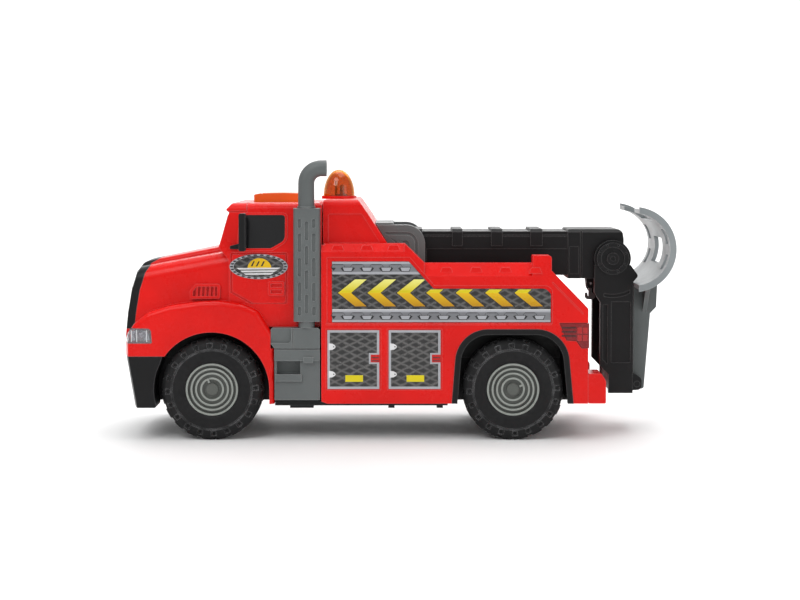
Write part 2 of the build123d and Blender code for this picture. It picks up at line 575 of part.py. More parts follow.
def bump(x, z, out):
    """A small tapered stake pocket on the rail, whose outer face stands at out."""
    shape = [(x - 4.2, z - 1.6), (x - 2.6, z + 2.2, 0.4), (x + 2.6, z + 2.2, 0.4), (x + 4.2, z - 1.6)]
    return slab(shape, out, out + 4)


def make_deck():
    deck = block(CAB_BACK_X + 0.7, TAIL_X - 0.4, -PANEL_IN, PANEL_IN, DECK_Z - WALL, DECK_Z)
    deck -= block(100, 130, -60, 60, 90, 100)
    for x in (22, 44, 66, 88):
        deck += both(block(x, x + 10, 24, 40, DECK_Z, DECK_Z + 1.2))
    for x, y in SCREW_SPOTS[2:4] + SCREW_SPOTS[6:8]:
        deck += screw_post(x, y, DECK_Z - 1 if x < 100 else 90)
    deck += block(98, 101, -PANEL_IN, PANEL_IN, 88, DECK_Z)
    return deck


def make_tail():
    """Sloping rear wall with a hatch outline, then the upright wall down to the chassis."""
    wall = slab([(101, 97.9), (101, 101.5), (TAIL_X, 79.8), (TAIL_X, 26), (TAIL_X - 3, 26), (TAIL_X - 3, 78.8)],
                -PANEL_IN, PANEL_IN)
    wall -= (block(TAIL_X - 0.8, TAIL_X + 1, -32, 32, 34, 72) - block(100, TAIL_X + 2, -31, 31, 35, 71))
    for z in (42, 50, 58):
        wall += block(TAIL_X, TAIL_X + 1, -20, 20, z, z + 2.5)
    wall -= both(block(TAIL_X - 5, TAIL_X + 1, -PANEL_IN - 1, -PANEL_IN + 8, 59, 75.2))
    wall -= both(make_rail())
    return wall


def make_liner():
    outer = slab(REAR_ARCH, -BODY_HALF - 0.5, -PANEL_IN + 0.0) & block(0, 130, -70, 0, 23.6, 100)
    hole = [(38.0, 10), (42.6, 67.7, 18), (105.2, 67.7, 18), (110.8, 10)]
    ring = outer - slab(hole, -70, -20)
    well = slab(hole_grown(hole, 1.5), -PANEL_IN, -TRAY_HALF - 2.5) & block(0, 130, -70, 0, 26, 100)
    well -= slab(hole, -70, -20)
    wall = slab(hole_grown(hole, 1.5), -TRAY_HALF - 2.5, -TRAY_HALF - 1) & block(0, 130, -70, 0, 50.2, 100)
    return ring + well + wall


def hole_grown(points, margin):
    """The same outline pushed outward from its foot by a margin."""
    middle = (points[0][0] + points[-1][0]) / 2
    grown = []
    for x, z, *r in points:
        side = 1 if x > middle else -1
        grown.append((x + side * margin, z + (margin if z > 60 else 0), *r))
    return grown


nodes["body_side_left"] = make_side_panel()
nodes["body_side_right"] = mirror(nodes["body_side_left"], Plane.XZ)
nodes["bed_deck"] = make_deck()
nodes["tail_panel"] = make_tail()
pair("rear_arch_liners", make_liner())

tail_lamp = slab(TAIL_LAMP, -BODY_HALF - 0.4, -PANEL_IN + 7.8)
tail_lamp -= slab(BODY_SIDE, -BODY_HALF, -PANEL_IN) - slab(REAR_ARCH, -60, -40)
tail_lamp -= slab(REAR_ARCH, -70, -30)
pair("tail_lamp_lenses", tail_lamp)

corner = slab([(TAIL_X + 0.1, 23.6, 1), (TAIL_X + 0.1, 42.7, 1), (131, 42.7, 1), (133.9, 38, 1), (133.9, 23.6, 1)],
              -BODY_HALF + 0.5, -34)
corner -= block(TAIL_X + 2, 140, -50, -38, 29, 37)
nodes["rear_bumper"] = both(corner)

DECAL = [(-40.8, 75.6), (-40.8, 114.4), (8.2, 114.4), (23.9, 97.1), (95, 97.1, 4), (98.5, 94, 3), (98.5, 75.6)]
pair("side_decals", slab(DECAL, -BODY_HALF + 0.3, -BODY_HALF + 0.6))
doors = [slab([(x, 33, 1.2), (x, 70.6, 1.2), (x + 33, 70.6, 1.2), (x + 33, 33, 1.2)], -BODY_HALF + 0.2, -BODY_HALF + 0.5)
         for x in (-43.7, -4.7)]
pair("locker_decals", doors[0] + doors[1])


# ---- boom ---------------------------------------------------------------
COVER_IN = BOOM_HALF + 2.0
COVER_OUT = 31.0
RIB_PROUD = 1.5
RIBS = [(12.7, 17.2), (36.8, 43.5), (62.4, 69.7), (88.1, 96.0)]
INNER_HALF = BOOM_HALF - WALL - GAP
PIN_R = 3.0
HOOK_PIVOT = (129.8, 96.6)


def hoop(inset, y0, y1):
    """Side outline of the cover over the boom's foot, round at its top rear corner."""
    slope = [(-5.7 + inset, DECK_Z), (-5.7 + inset, 125.6), (-12.6 + inset, 136.6 - inset)]
    top = [(18.8 - inset, 136.6 - inset, 12.4 - inset), (18.8 - inset, DECK_Z)]
    return slab(slope + top, y0, y1)


def make_boom_cover():
    cheek = hoop(1.2, -COVER_OUT + 1, -COVER_IN)
    cheek += hoop(0, -COVER_OUT, -COVER_OUT + 5) - hoop(4.6, -COVER_OUT - 1, -COVER_OUT + 6)
    cheek += hoop(6.6, -COVER_OUT, -COVER_OUT + 2) - hoop(10, -COVER_OUT - 1, -COVER_OUT + 6)
    cheek += hoop(0, -COVER_IN - 3, -COVER_IN)
    cheek -= rod_y(*BOOM_PIVOT, PIN_R + FIT, -COVER_OUT - 1, -10)
    bridge = slab([(-10.6, 134.2), (-13.6, 137.7), (-1.5, 137.7, 1), (-1.5, 134.2)], -COVER_IN - 4, COVER_IN + 4)
    return both(cheek) + (bridge - both(cheek))


def boom_box(inset, x_end):
    """The boom's long box with a round foot about its pivot."""
    x, z = BOOM_PIVOT
    half, low, high = BOOM_HALF - inset, BOOM_LOW_Z + inset, BOOM_TOP_Z - inset
    foot = rod_y(x, (low + high) / 2, (high - low) / 2, -half, half)
    return foot + block(x, x_end, -half, half, low, high)


def make_outer_boom():
    boom = boom_box(0, BOOM_END_X) - (boom_box(WALL, BOOM_END_X + 1) - boom_box(0, 18))
    boom -= block(19, BOOM_END_X + 1, -BOOM_HALF + WALL, BOOM_HALF - WALL, BOOM_LOW_Z + WALL, BOOM_TOP_Z - WALL)
    boom -= both(block(20, BOOM_END_X + 1, -BOOM_HALF - 1, -BOOM_HALF + 1, BOOM_LOW_Z - 1, 120.5))
    for x0, x1 in RIBS:
        ring = block(x0, x1, -BOOM_HALF - RIB_PROUD, BOOM_HALF + RIB_PROUD, 122.5, BOOM_TOP_Z + 1.6)
        ring = chamfer(ring.edges().filter_by(Axis.X).group_by(Axis.Z)[-1], 2)
        boom += ring - block(x0 - 1, x1 + 1, -BOOM_HALF + 1, BOOM_HALF - 1, 100, BOOM_TOP_Z - 1)
    boom += both(block(18, BOOM_END_X, -BOOM_HALF - 0.4, -BOOM_HALF, 128.6, 129.6))
    boom -= rod_y(*BOOM_PIVOT, PIN_R + 0.02, -40, 40)
    return boom


def make_inner_boom():
    low, high = BOOM_LOW_Z + WALL + GAP, BOOM_TOP_Z - WALL - GAP
    tube = block(50, BOOM_END_X + GAP, -INNER_HALF + 0.0, INNER_HALF, low, high)
    tube -= block(49, BOOM_END_X - 4, -INNER_HALF + WALL, INNER_HALF - WALL, low + WALL, high - WALL)
    return tube


def make_hook_guide():
    fin = slab([(126.6, 101), (133.4, 101), (133.4, 95.5), (131.5, 93.4, 1), (127.4, 93.4, 1)], -4.4, -2.2)
    return both(fin - rod_y(*HOOK_PIVOT, 0.8, -10, 10))


def make_boom_head():
    """The head block at the rear, with the cross bore for the arm's pin."""
    x = BOOM_END_X + GAP
    side = [(x, 101), (x, 133.4, 1), (HEAD_END_X - 1, 133.4, 4), (HEAD_END_X, 127, 3), (HEAD_END_X, 101, 2)]
    half = BOOM_HALF
    head = slab(side, -half, half)
    head &= strip([(-half, 100), (-half, 131.4), (2 - half, 133.4), (half - 2, 133.4), (half, 131.4), (half, 100)],
                  100, 160)
    head -= block(x + 3, HEAD_END_X - 3, -BOOM_HALF + 3, BOOM_HALF - 3, 100, 130.5) - block(124, 136, -30, 30, 90, 140)
    head -= both(block(x + 8.2, x + 9.2, -BOOM_HALF - 1, -BOOM_HALF + 0.8, 100, 140))
    head += both(block(x + 1, x + 7, -BOOM_HALF - 0.2, -BOOM_HALF, 104, 122))
    bearing = rod_y(*ARM_PIVOT, 7.5, -BOOM_HALF, BOOM_HALF)
    head += bearing & block(0, 200, -50, 50, 101.5, 130)
    head -= rod_y(*ARM_PIVOT, PIN_R + FIT, -40, 40)
    return head + make_hook_guide()


nodes["boom_cover"] = make_boom_cover()
nodes["outer_boom"] = make_outer_boom()
nodes["inner_boom"] = make_inner_boom()
nodes["boom_head"] = make_boom_head()
nodes["boom_pin"] = rod_y(*BOOM_PIVOT, PIN_R, -COVER_OUT + 1.5, COVER_OUT - 1.5)


# ---- tow hook -----------------------------------------------------------
def make_hook():
    """Eye round its pin, a thin shank and a bowl that opens to the front."""
    x, z = HOOK_PIVOT
    hook = rod_y(x, z, 2.3, -1.2, 1.2) + block(x - 1, x + 1, -1.2, 1.2, 87, z)
    bowl = slab([(x + 1.2, 90.2), (x + 3.2, 88.6, 1), (x + 3.2, 85.6, 2), (x - 3.4, 85.6, 2), (x - 3.4, 90, 0.5),
                 (x - 1.8, 90, 0.3), (x - 1.6, 87.8, 0.6), (x + 0.6, 87.8, 0.3), (x - 1, 90.2)], -1.2, 1.2)
    return (hook + bowl) - rod_y(x, z, 0.8 + FIT, -10, 10)


nodes["tow_hook"] = make_hook()
nodes["hook_pin"] = rod_y(*HOOK_PIVOT, 0.78, -4.4, 4.4)


# ---- hanging arm, lever and cradle --------------------------------------
ARM_SIDE = [(129.8, 110), (129.8, 91.8), (133.7, 85.8), (133.7, 44), (139.4, 38), (139.4, 25.9)]
ARM_SIDE += [(155.2, 25.9), (155.2, 99), (158.6, 103, 2), (153.6, 110)]
CHEEK_IN = BOOM_HALF + GAP
LEVER_HALF = 12.0
STRAP = 2.8


def make_arm():
    """Two cheeks beside the boom head, joined lower down by a hollow leg."""
    x, z = ARM_PIVOT
    cheek = slab(ARM_SIDE, -ARM_HALF, -CHEEK_IN) + rod_y(x, z, 12, -ARM_HALF, -CHEEK_IN)
    cheek -= slab([(135.5, 48), (135.5, 84), (138.5, 84), (138.5, 45)], -ARM_HALF - 1, -ARM_HALF + 1.2)
    cheek -= slab([(141, 46), (141, 86), (153.6, 86, 1), (153.6, 46, 1)], -ARM_HALF - 1, -ARM_HALF + 0.8)
    arc = rod_y(x, z, 25.5, -ARM_HALF, -ARM_HALF + 1) - rod_y(x, z, 23.5, -30, -20)
    cheek -= arc & block(136, 153, -30, -20, 60, 95)
    cheek -= rod_y(x, z, PIN_R + 0.02, -30, -10)
    leg = slab([(140, 27.5), (140, 84), (155.4, 84), (155.4, 48), (150, 42), (150, 27.5)], -CHEEK_IN, CHEEK_IN)
    leg -= slab([(142, 20), (142, 81), (153, 81), (153, 49), (148, 43), (148, 20)], -CHEEK_IN + 4, CHEEK_IN - 4)
    ear = slab([(155.4, 26.5), (155.4, 37.5), (158, 37.5, 1), (162.4, 34.5, 3), (162.4, 26.9, 3)],
               -LEVER_HALF - 4.5, -LEVER_HALF - GAP)
    ear += slab([(148.5, 27.5), (148.5, 37.5), (155.4, 37.5), (155.4, 27.5)], -LEVER_HALF - 4.5, -LEVER_HALF - GAP)
    ear -= rod_y(*LEVER_PIVOT, 2.02, -30, 0)
    return both(cheek) + leg + both(ear)


def make_arm_caps():
    """Round pivot caps with a ring of eight small holes and a centre cone."""
    x, z = ARM_PIVOT
    cap = rod_y(x, z, 10.5, -ARM_HALF - 2, -ARM_HALF) - rod_y(x, z, 7.5, -ARM_HALF - 3, -ARM_HALF - 0.8)
    cap += rod_y(x, z, 3.9, -ARM_HALF - 2.6, -ARM_HALF) - rod_y(x, z, 1.6, -ARM_HALF - 3, -ARM_HALF - 1.6)
    for i in range(8):
        turn = radians(22.5 + 45 * i)
        cap -= rod_y(x + 9.2 * cos(turn), z + 9.2 * sin(turn), 0.65, -ARM_HALF - 3, -ARM_HALF - 1)
    return both(cap)


def make_lever():
    """Grey lever that stands behind the arm, with side flanges and wings under the cradle."""
    x, z = LEVER_PIVOT
    side = [(157.4, 34), (157.4, 96), (163, 104), (173.2, 101), (172.4, 81.5), (168.4, 77.3), (164.4, 27.5, 1)]
    side += [(160.4, 26.6, 1), (158.6, 28)]
    web = slab([(160.4, 27), (160.4, 98), (163.2, 98), (163.2, 27)], -LEVER_HALF, LEVER_HALF)
    flange = slab(side, -LEVER_HALF, -LEVER_HALF + 3)
    wing = strip([(-30, 97.5), (-12, 78), (-12, 97.5)], 163.2, 166)
    lever = web + both(flange) + both(wing)
    lever += rod_y(x, z, 3.6, -LEVER_HALF, LEVER_HALF)
    for step in range(4):
        lever += block(163.2, 165.2, -LEVER_HALF, LEVER_HALF, 40 + 13 * step, 41.6 + 13 * step)
    lever -= rod_y(x, z, 2.0 + FIT, -30, 30)
    lever -= cradle_drum(CRADLE_R + 0.02)
    return lever


def cradle_drum(r, half=60):
    return rod_y(*CRADLE, r, -half, half)


def make_cradle():
    """Half-round strap open to the front, slotted, with a notch between its upper tines."""
    x, z = CRADLE
    strap = cradle_drum(CRADLE_R, CRADLE_HALF) - cradle_drum(CRADLE_R - STRAP)
    strap -= block(100, 155.8, -60, 60, 80, 160)
    strap -= block(150, 170, -24, 24, z + 17.5, 160)
    for y in (-36, 36):
        for low in (z + 3.0, z - 13.5):
            strap -= block(165, 185, y - 4.5, y + 4.5, low, low + 9.8)
    strap -= block(168, 190, -16, 16, z - 11, z + 6)
    strap += both((cradle_drum(CRADLE_R + 1.4, CRADLE_HALF) - cradle_drum(CRADLE_R, 70)
                   - cradle_drum(90, CRADLE_HALF - 2.2)) & block(155.8, 200, -60, 60, 80, 160))
    return strap


nodes["lift_arm"] = make_arm()
nodes["arm_pin"] = rod_y(*ARM_PIVOT, PIN_R, -ARM_HALF, ARM_HALF)
nodes["arm_caps"] = make_arm_caps()
nodes["lift_lever"] = make_lever()
nodes["wheel_cradle"] = make_cradle()
nodes["lever_pin"] = rod_y(*LEVER_PIVOT, 2.0, -LEVER_HALF - 4.5, LEVER_HALF + 4.5)


# ---- power and sound inside the chassis ---------------------------------
CELL_R = 7.1
CELL_Z = BASE_Z + 2.3 + CELL_R


def make_battery_box():
    x0, x1 = BATTERY_X
    box = block(x0 - 3, x1 + 2.5, -25, 25, FLOOR_Z, 44) - block(x0, x1 - 7, -23, 23, FLOOR_Z - 1, 42)
    return box - rod_z(x1 - 3.5, 0, 1.3, FLOOR_Z - 1, 36)


def make_battery_door():
    x0, x1 = BATTERY_X
    half = BATTERY_HALF - GAP
    door = block(x0 + GAP, x1 - GAP, -half, half, BASE_Z, BASE_Z + 2.1)
    for i in range(5):
        door -= block(x0 + 8 + 3 * i, x0 + 9.2 + 3 * i, -8, 8, BASE_Z - 1, BASE_Z + 0.7)
    door -= rod_z(x1 - 3.5, 0, 1.6, BASE_Z - 1, 40) + rod_z(x1 - 3.5, 0, 2.6, BASE_Z - 1, BASE_Z + 1.1)
    return door


def make_cells():
    cells = []
    for y in (-2 * CELL_R - 0.2, 0, 2 * CELL_R + 0.2):
        cell = rod_x(y, CELL_Z, CELL_R, -63, -14.5) + rod_x(y, CELL_Z, 2.7, -14.5, -13.2)
        cells.append(cell.solid())
    return Compound(children=cells)


def make_contacts():
    leaves = []
    for y in (-2 * CELL_R - 0.2, 0, 2 * CELL_R + 0.2):
        for x in (-64.2, -12.9):
            leaves.append(block(x, x + 0.5, y - 4.5, y + 4.5, CELL_Z - 5, CELL_Z + 5).solid())
    return Compound(children=leaves)


door_screw = rod_z(BATTERY_X[1] - 3.5, 0, 2.4, BASE_Z + 0.1, BASE_Z + 1.1)
door_screw += rod_z(BATTERY_X[1] - 3.5, 0, 1.25, BASE_Z + 1.1, BASE_Z + 11)
nodes["battery_box"] = make_battery_box()
nodes["battery_door"] = make_battery_door()
nodes["battery_door_screw"] = door_screw
nodes["batteries"] = make_cells()
nodes["battery_contacts"] = make_contacts()
speaker = rod_z(21, 0, 13.5, FLOOR_Z, FLOOR_Z + 3) + rod_z(21, 0, 7, FLOOR_Z + 3, FLOOR_Z + 9)
nodes["speaker"] = speaker


# ---- write one file for each node --------------------------------------
os.makedirs("parts", exist_ok=True)
for name, shape in nodes.items():
    export_step(shape, f"parts/{name}.step")
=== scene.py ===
import json
from math import cos, pi, radians, sin

import bmesh
import bpy
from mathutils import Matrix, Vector


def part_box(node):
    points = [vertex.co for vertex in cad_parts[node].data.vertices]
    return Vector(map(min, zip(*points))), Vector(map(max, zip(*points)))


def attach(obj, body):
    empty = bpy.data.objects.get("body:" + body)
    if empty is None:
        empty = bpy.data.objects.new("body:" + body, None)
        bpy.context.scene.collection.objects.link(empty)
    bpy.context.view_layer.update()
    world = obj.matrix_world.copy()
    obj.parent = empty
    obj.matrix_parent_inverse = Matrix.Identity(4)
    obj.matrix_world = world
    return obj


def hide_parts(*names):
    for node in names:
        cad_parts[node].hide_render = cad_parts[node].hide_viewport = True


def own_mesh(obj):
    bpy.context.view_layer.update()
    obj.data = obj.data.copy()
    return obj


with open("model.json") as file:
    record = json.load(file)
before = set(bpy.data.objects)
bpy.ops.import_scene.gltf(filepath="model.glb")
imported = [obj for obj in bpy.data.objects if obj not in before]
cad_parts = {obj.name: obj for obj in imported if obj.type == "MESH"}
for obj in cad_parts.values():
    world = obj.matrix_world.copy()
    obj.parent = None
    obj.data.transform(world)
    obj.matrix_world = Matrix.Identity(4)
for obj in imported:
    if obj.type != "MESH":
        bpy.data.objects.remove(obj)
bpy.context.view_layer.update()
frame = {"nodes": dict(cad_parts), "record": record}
nodes = frame["nodes"]
MM = 0.001
MICRON = 0.000001


# ---- materials ----------------------------------------------------------
def new_material(name):
    """A material with its node tree and its surface shader."""
    material = bpy.data.materials.new(name)
    material.use_nodes = True
    tree = material.node_tree
    return material, tree, tree.nodes["Principled BSDF"]


def add(tree, kind, **settings):
    """A new node, with its inputs or its own settings filled in by name."""
    node = tree.nodes.new(kind)
    for key, value in settings.items():
        if key in node.inputs:
            node.inputs[key].default_value = value
        else:
            setattr(node, key, value)
    return node


def object_point(tree):
    """Where a point lies on the object, in metres."""
    return add(tree, "ShaderNodeTexCoord").outputs["Object"]


def place_along(tree, axis):
    """One coordinate of a point on the object: "X", "Y" or "Z"."""
    split = add(tree, "ShaderNodeSeparateXYZ")
    tree.links.new(object_point(tree), split.inputs[0])
    return split.outputs[axis]


def noise(tree, scale, detail=3.0, roughness=0.5):
    node = add(tree, "ShaderNodeTexNoise", Scale=scale, Detail=detail, Roughness=roughness)
    tree.links.new(object_point(tree), node.inputs["Vector"])
    return node.outputs["Fac"]


def remap(tree, value, low, high, out_low, out_high):
    """The value stretched from one range to another, and held at its ends."""
    limits = {"From Min": low, "From Max": high, "To Min": out_low, "To Max": out_high}
    node = add(tree, "ShaderNodeMapRange", **limits)
    tree.links.new(value, node.inputs["Value"])
    return node.outputs["Result"]


def mix_colour(tree, factor, first, second):
    """Two colours, or the outputs of nodes, mixed by a factor."""
    node = add(tree, "ShaderNodeMix", data_type="RGBA")
    tree.links.new(factor, node.inputs[0])
    for socket, value in ((node.inputs[6], first), (node.inputs[7], second)):
        if isinstance(value, tuple):
            socket.default_value = (*value, 1)
        else:
            tree.links.new(value, socket)
    return node.outputs[2]


def maths(tree, operation, first, second=0.0):
    """A sum of two numbers, or of the outputs of nodes."""
    node = add(tree, "ShaderNodeMath", operation=operation)
    for socket, value in zip(node.inputs, (first, second)):
        if isinstance(value, (int, float)):
            socket.default_value = value
        else:
            tree.links.new(value, socket)
    return node.outputs[0]


def painted_edge_highlight(tree, radius):
    """1 along sharp edges, where the colour is painted paler as a highlight."""
    bevel = add(tree, "ShaderNodeBevel", samples=4, Radius=radius)
    normal = add(tree, "ShaderNodeNewGeometry").outputs["Normal"]
    dot = add(tree, "ShaderNodeVectorMath", operation="DOT_PRODUCT")
    tree.links.new(bevel.outputs[0], dot.inputs[0])
    tree.links.new(normal, dot.inputs[1])
    return remap(tree, dot.outputs["Value"], 0.98, 0.80, 0.0, 1.0)


def bump(tree, shader, height, strength, distance):
    node = add(tree, "ShaderNodeBump", Strength=strength, Distance=distance)
    tree.links.new(height, node.inputs["Height"])
    tree.links.new(node.outputs["Normal"], shader.inputs["Normal"])


def plastic(name, colour, rough=0.35, grain=0.25, grain_scale=2600, pale=0.12, edge=0.35, coat=0.0, depth=0.0,
            gloss=0.35):
    """Moulded plastic: slow colour drift, a fine spark-eroded grain, faint scuffs and edges painted paler as
    highlights.

    Its edges are painted this much paler towards white, as a highlight, in a band weighted by edge, and depth
    is how much light gets into the plastic and out again.
    """
    material, tree, shader = new_material(name)
    darker = tuple(c * 0.86 for c in colour)
    highlight_colour = tuple(min(1.0, c + (1 - c) * pale) for c in colour)
    drift = remap(tree, noise(tree, 28, 2), 0.35, 0.7, 0, 1)
    base = mix_colour(tree, drift, darker, colour)
    # Painted highlight: along the edges the colour is mixed towards white, weighted by edge.
    mask = maths(tree, "MULTIPLY", painted_edge_highlight(tree, 0.7 * MM), edge)
    with_edge_highlight = mix_colour(tree, mask, base, highlight_colour)
    tree.links.new(with_edge_highlight, shader.inputs["Base Color"])
    scuff = remap(tree, noise(tree, 160, 6, 0.7), 0.45, 0.75, 0.0, 0.12)
    sheen = remap(tree, noise(tree, 45, 3), 0.3, 0.7, rough - 0.05, rough + 0.05)
    tree.links.new(maths(tree, "ADD", sheen, scuff), shader.inputs["Roughness"])
    fine = noise(tree, grain_scale, 2)
    slow = maths(tree, "MULTIPLY", noise(tree, 90, 2), 1.4)
    bump(tree, shader, maths(tree, "ADD", fine, slow), grain, 120 * MICRON)
    shader.inputs["Specular IOR Level"].default_value = gloss
    shader.inputs["Coat Weight"].default_value = coat
    shader.inputs["Coat Roughness"].default_value = 0.12
    if depth:
        shader.inputs["Subsurface Weight"].default_value = depth
        shader.inputs["Subsurface Radius"].default_value = (4 * MM, 1 * MM, 0.6 * MM)
    return material


def ink(name, colour, rough=0.30, grain=0.1, pale=0.12, coat=0.0):
    """Printed ink: smoother than the moulded plastic under it."""
    return plastic(name, colour, rough, grain, 1500, pale, coat=coat)


def graded_ink(name, low_colour, high_colour, low_z, high_z):
    """Printed ink that changes colour with height."""
    material = ink(name, low_colour, 0.28, 0.08)
    tree = material.node_tree
    shader = tree.nodes["Principled BSDF"]
    rise = remap(tree, place_along(tree, "Z"), low_z, high_z, 0, 1)
    plain = shader.inputs["Base Color"].links[0].from_socket
    tree.links.new(mix_colour(tree, rise, plain, high_colour), shader.inputs["Base Color"])
    return material


def rubbery(name, colour):
    """Tyre plastic: matt, with a little dust, and the edges of its lugs painted pale as highlights."""
    material, tree, shader = new_material(name)
    dust = remap(tree, noise(tree, 70, 5, 0.65), 0.45, 0.8, 0, 0.5)
    base = mix_colour(tree, dust, colour, (0.016, 0.016, 0.017))
    patches = remap(tree, noise(tree, 210, 3), 0.35, 0.65, 0.25, 0.9)
    # Painted highlight: the lug edges are painted pale grey, patchy along their length.
    edge_highlight = maths(tree, "MULTIPLY", painted_edge_highlight(tree, 0.9 * MM), patches)
    tree.links.new(mix_colour(tree, edge_highlight, base, (0.24, 0.24, 0.245)), shader.inputs["Base Color"])
    tree.links.new(remap(tree, noise(tree, 320, 4), 0.3, 0.7, 0.48, 0.72), shader.inputs["Roughness"])
    shader.inputs["Specular IOR Level"].default_value = 0.22
    bump(tree, shader, noise(tree, 1500, 4, 0.6), 0.5, 150 * MICRON)
    return material


def lens(name, colour, clear, rough=0.08, flutes=0.0):
    """Tinted plastic that lets a share of the light through, with upright flutes if it has any."""
    material, tree, shader = new_material(name)
    shader.inputs["Transmission Weight"].default_value = clear
    shader.inputs["IOR"].default_value = 1.46
    haze = remap(tree, noise(tree, 240, 4), 0.3, 0.75, 0, 1)
    tint = mix_colour(tree, haze, colour, tuple(min(1, c * 1.12 + 0.004) for c in colour))
    tree.links.new(tint, shader.inputs["Base Color"])
    haze_rough = remap(tree, noise(tree, 130, 5), 0.35, 0.75, rough, rough + 0.08)
    tree.links.new(haze_rough, shader.inputs["Roughness"])
    if flutes:
        phase = maths(tree, "MULTIPLY", place_along(tree, "X"), flutes)
        bump(tree, shader, maths(tree, "ABSOLUTE", maths(tree, "SINE", phase)), 0.8, 600 * MICRON)
    else:
        bump(tree, shader, noise(tree, 420, 2), 0.12, 100 * MICRON)
    return material


def metal(name, colour, rough=0.25, scale=(30, 900, 900)):
    """Metal with a drawn grain along one direction and faint tarnish."""
    material, tree, shader = new_material(name)
    shader.inputs["Metallic"].default_value = 1.0
    stretch = add(tree, "ShaderNodeMapping")
    stretch.inputs["Scale"].default_value = scale
    tree.links.new(object_point(tree), stretch.inputs["Vector"])
    grain = add(tree, "ShaderNodeTexNoise", Scale=1.0, Detail=4.0)
    tree.links.new(stretch.outputs[0], grain.inputs["Vector"])
    tarnish = remap(tree, noise(tree, 60, 4), 0.4, 0.75, 0, 0.6)
    dull = tuple(c * 0.72 for c in colour)
    tree.links.new(mix_colour(tree, tarnish, colour, dull), shader.inputs["Base Color"])
    roughness = remap(tree, grain.outputs["Fac"], 0.3, 0.7, rough - 0.06, rough + 0.12)
    tree.links.new(roughness, shader.inputs["Roughness"])
    bump(tree, shader, grain.outputs["Fac"], 0.15, 80 * MICRON)
    return material


def circuit_board(name):
    """Solder mask with faint copper tracks under it."""
    material, tree, shader = new_material(name)
    brick = add(tree, "ShaderNodeTexBrick", Scale=180.0)
    tree.links.new(object_point(tree), brick.inputs["Vector"])
    mask = mix_colour(tree, brick.outputs["Fac"], (0.02, 0.2, 0.07), (0.05, 0.34, 0.12))
    tree.links.new(mask, shader.inputs["Base Color"])
    tree.links.new(remap(tree, noise(tree, 300), 0.3, 0.7, 0.25, 0.45), shader.inputs["Roughness"])
    bump(tree, shader, brick.outputs["Fac"], 0.3, 100 * MICRON)
    return material


def plate_print(name, dark, light, wide, high):
    """Printed tread plate: pale ridges, a little uneven, round dark lozenges of this size."""
    material, tree, shader = new_material(name)
    wobble = maths(tree, "MULTIPLY", noise(tree, 320, 3), 0.30)
    across = maths(tree, "ADD", maths(tree, "DIVIDE", place_along(tree, "X"), wide), wobble)
    up = maths(tree, "DIVIDE", place_along(tree, "Z"), high)
    ridges = []
    for operation in ("ADD", "SUBTRACT"):
        wave = maths(tree, "SINE", maths(tree, "MULTIPLY", maths(tree, operation, across, up), pi))
        ridges.append(maths(tree, "ABSOLUTE", wave))
    lowest = maths(tree, "MINIMUM", *ridges)
    ridge = remap(tree, lowest, 0.16, 0.72, 1, 0)
    shade = maths(tree, "MULTIPLY", ridge, remap(tree, noise(tree, 200, 3), 0.3, 0.7, 0.6, 1.0))
    tree.links.new(mix_colour(tree, shade, dark, light), shader.inputs["Base Color"])
    tree.links.new(remap(tree, noise(tree, 120, 4), 0.3, 0.7, 0.22, 0.36), shader.inputs["Roughness"])
    shader.inputs["Coat Weight"].default_value = 0.3
    bump(tree, shader, ridge, 0.12, 100 * MICRON)
    return material


def hub_painted_light(name, shaded_groove_colour, lit_ring_colour):
    """Hub plastic: painted shade in the grooves and painted light on the tops of the turned rings."""
    material, tree, shader = new_material(name)
    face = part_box("front_hubs")[1][1]
    groove_y, ring_y = face - 1.7 * MM, face - 1.45 * MM
    # Painted light and shade: the ring tops, out along Y, are painted paler than the grooves.
    height = remap(tree, maths(tree, "ABSOLUTE", place_along(tree, "Y")), groove_y, ring_y, 0, 1)
    lit_share = maths(tree, "MULTIPLY", height, remap(tree, noise(tree, 240, 4), 0.3, 0.7, 0.75, 1.0))
    tree.links.new(mix_colour(tree, lit_share, shaded_groove_colour, lit_ring_colour), shader.inputs["Base Color"])
    tree.links.new(remap(tree, noise(tree, 90, 4), 0.3, 0.7, 0.34, 0.5), shader.inputs["Roughness"])
    bump(tree, shader, noise(tree, 2000, 3), 0.25, 100 * MICRON)
    return material


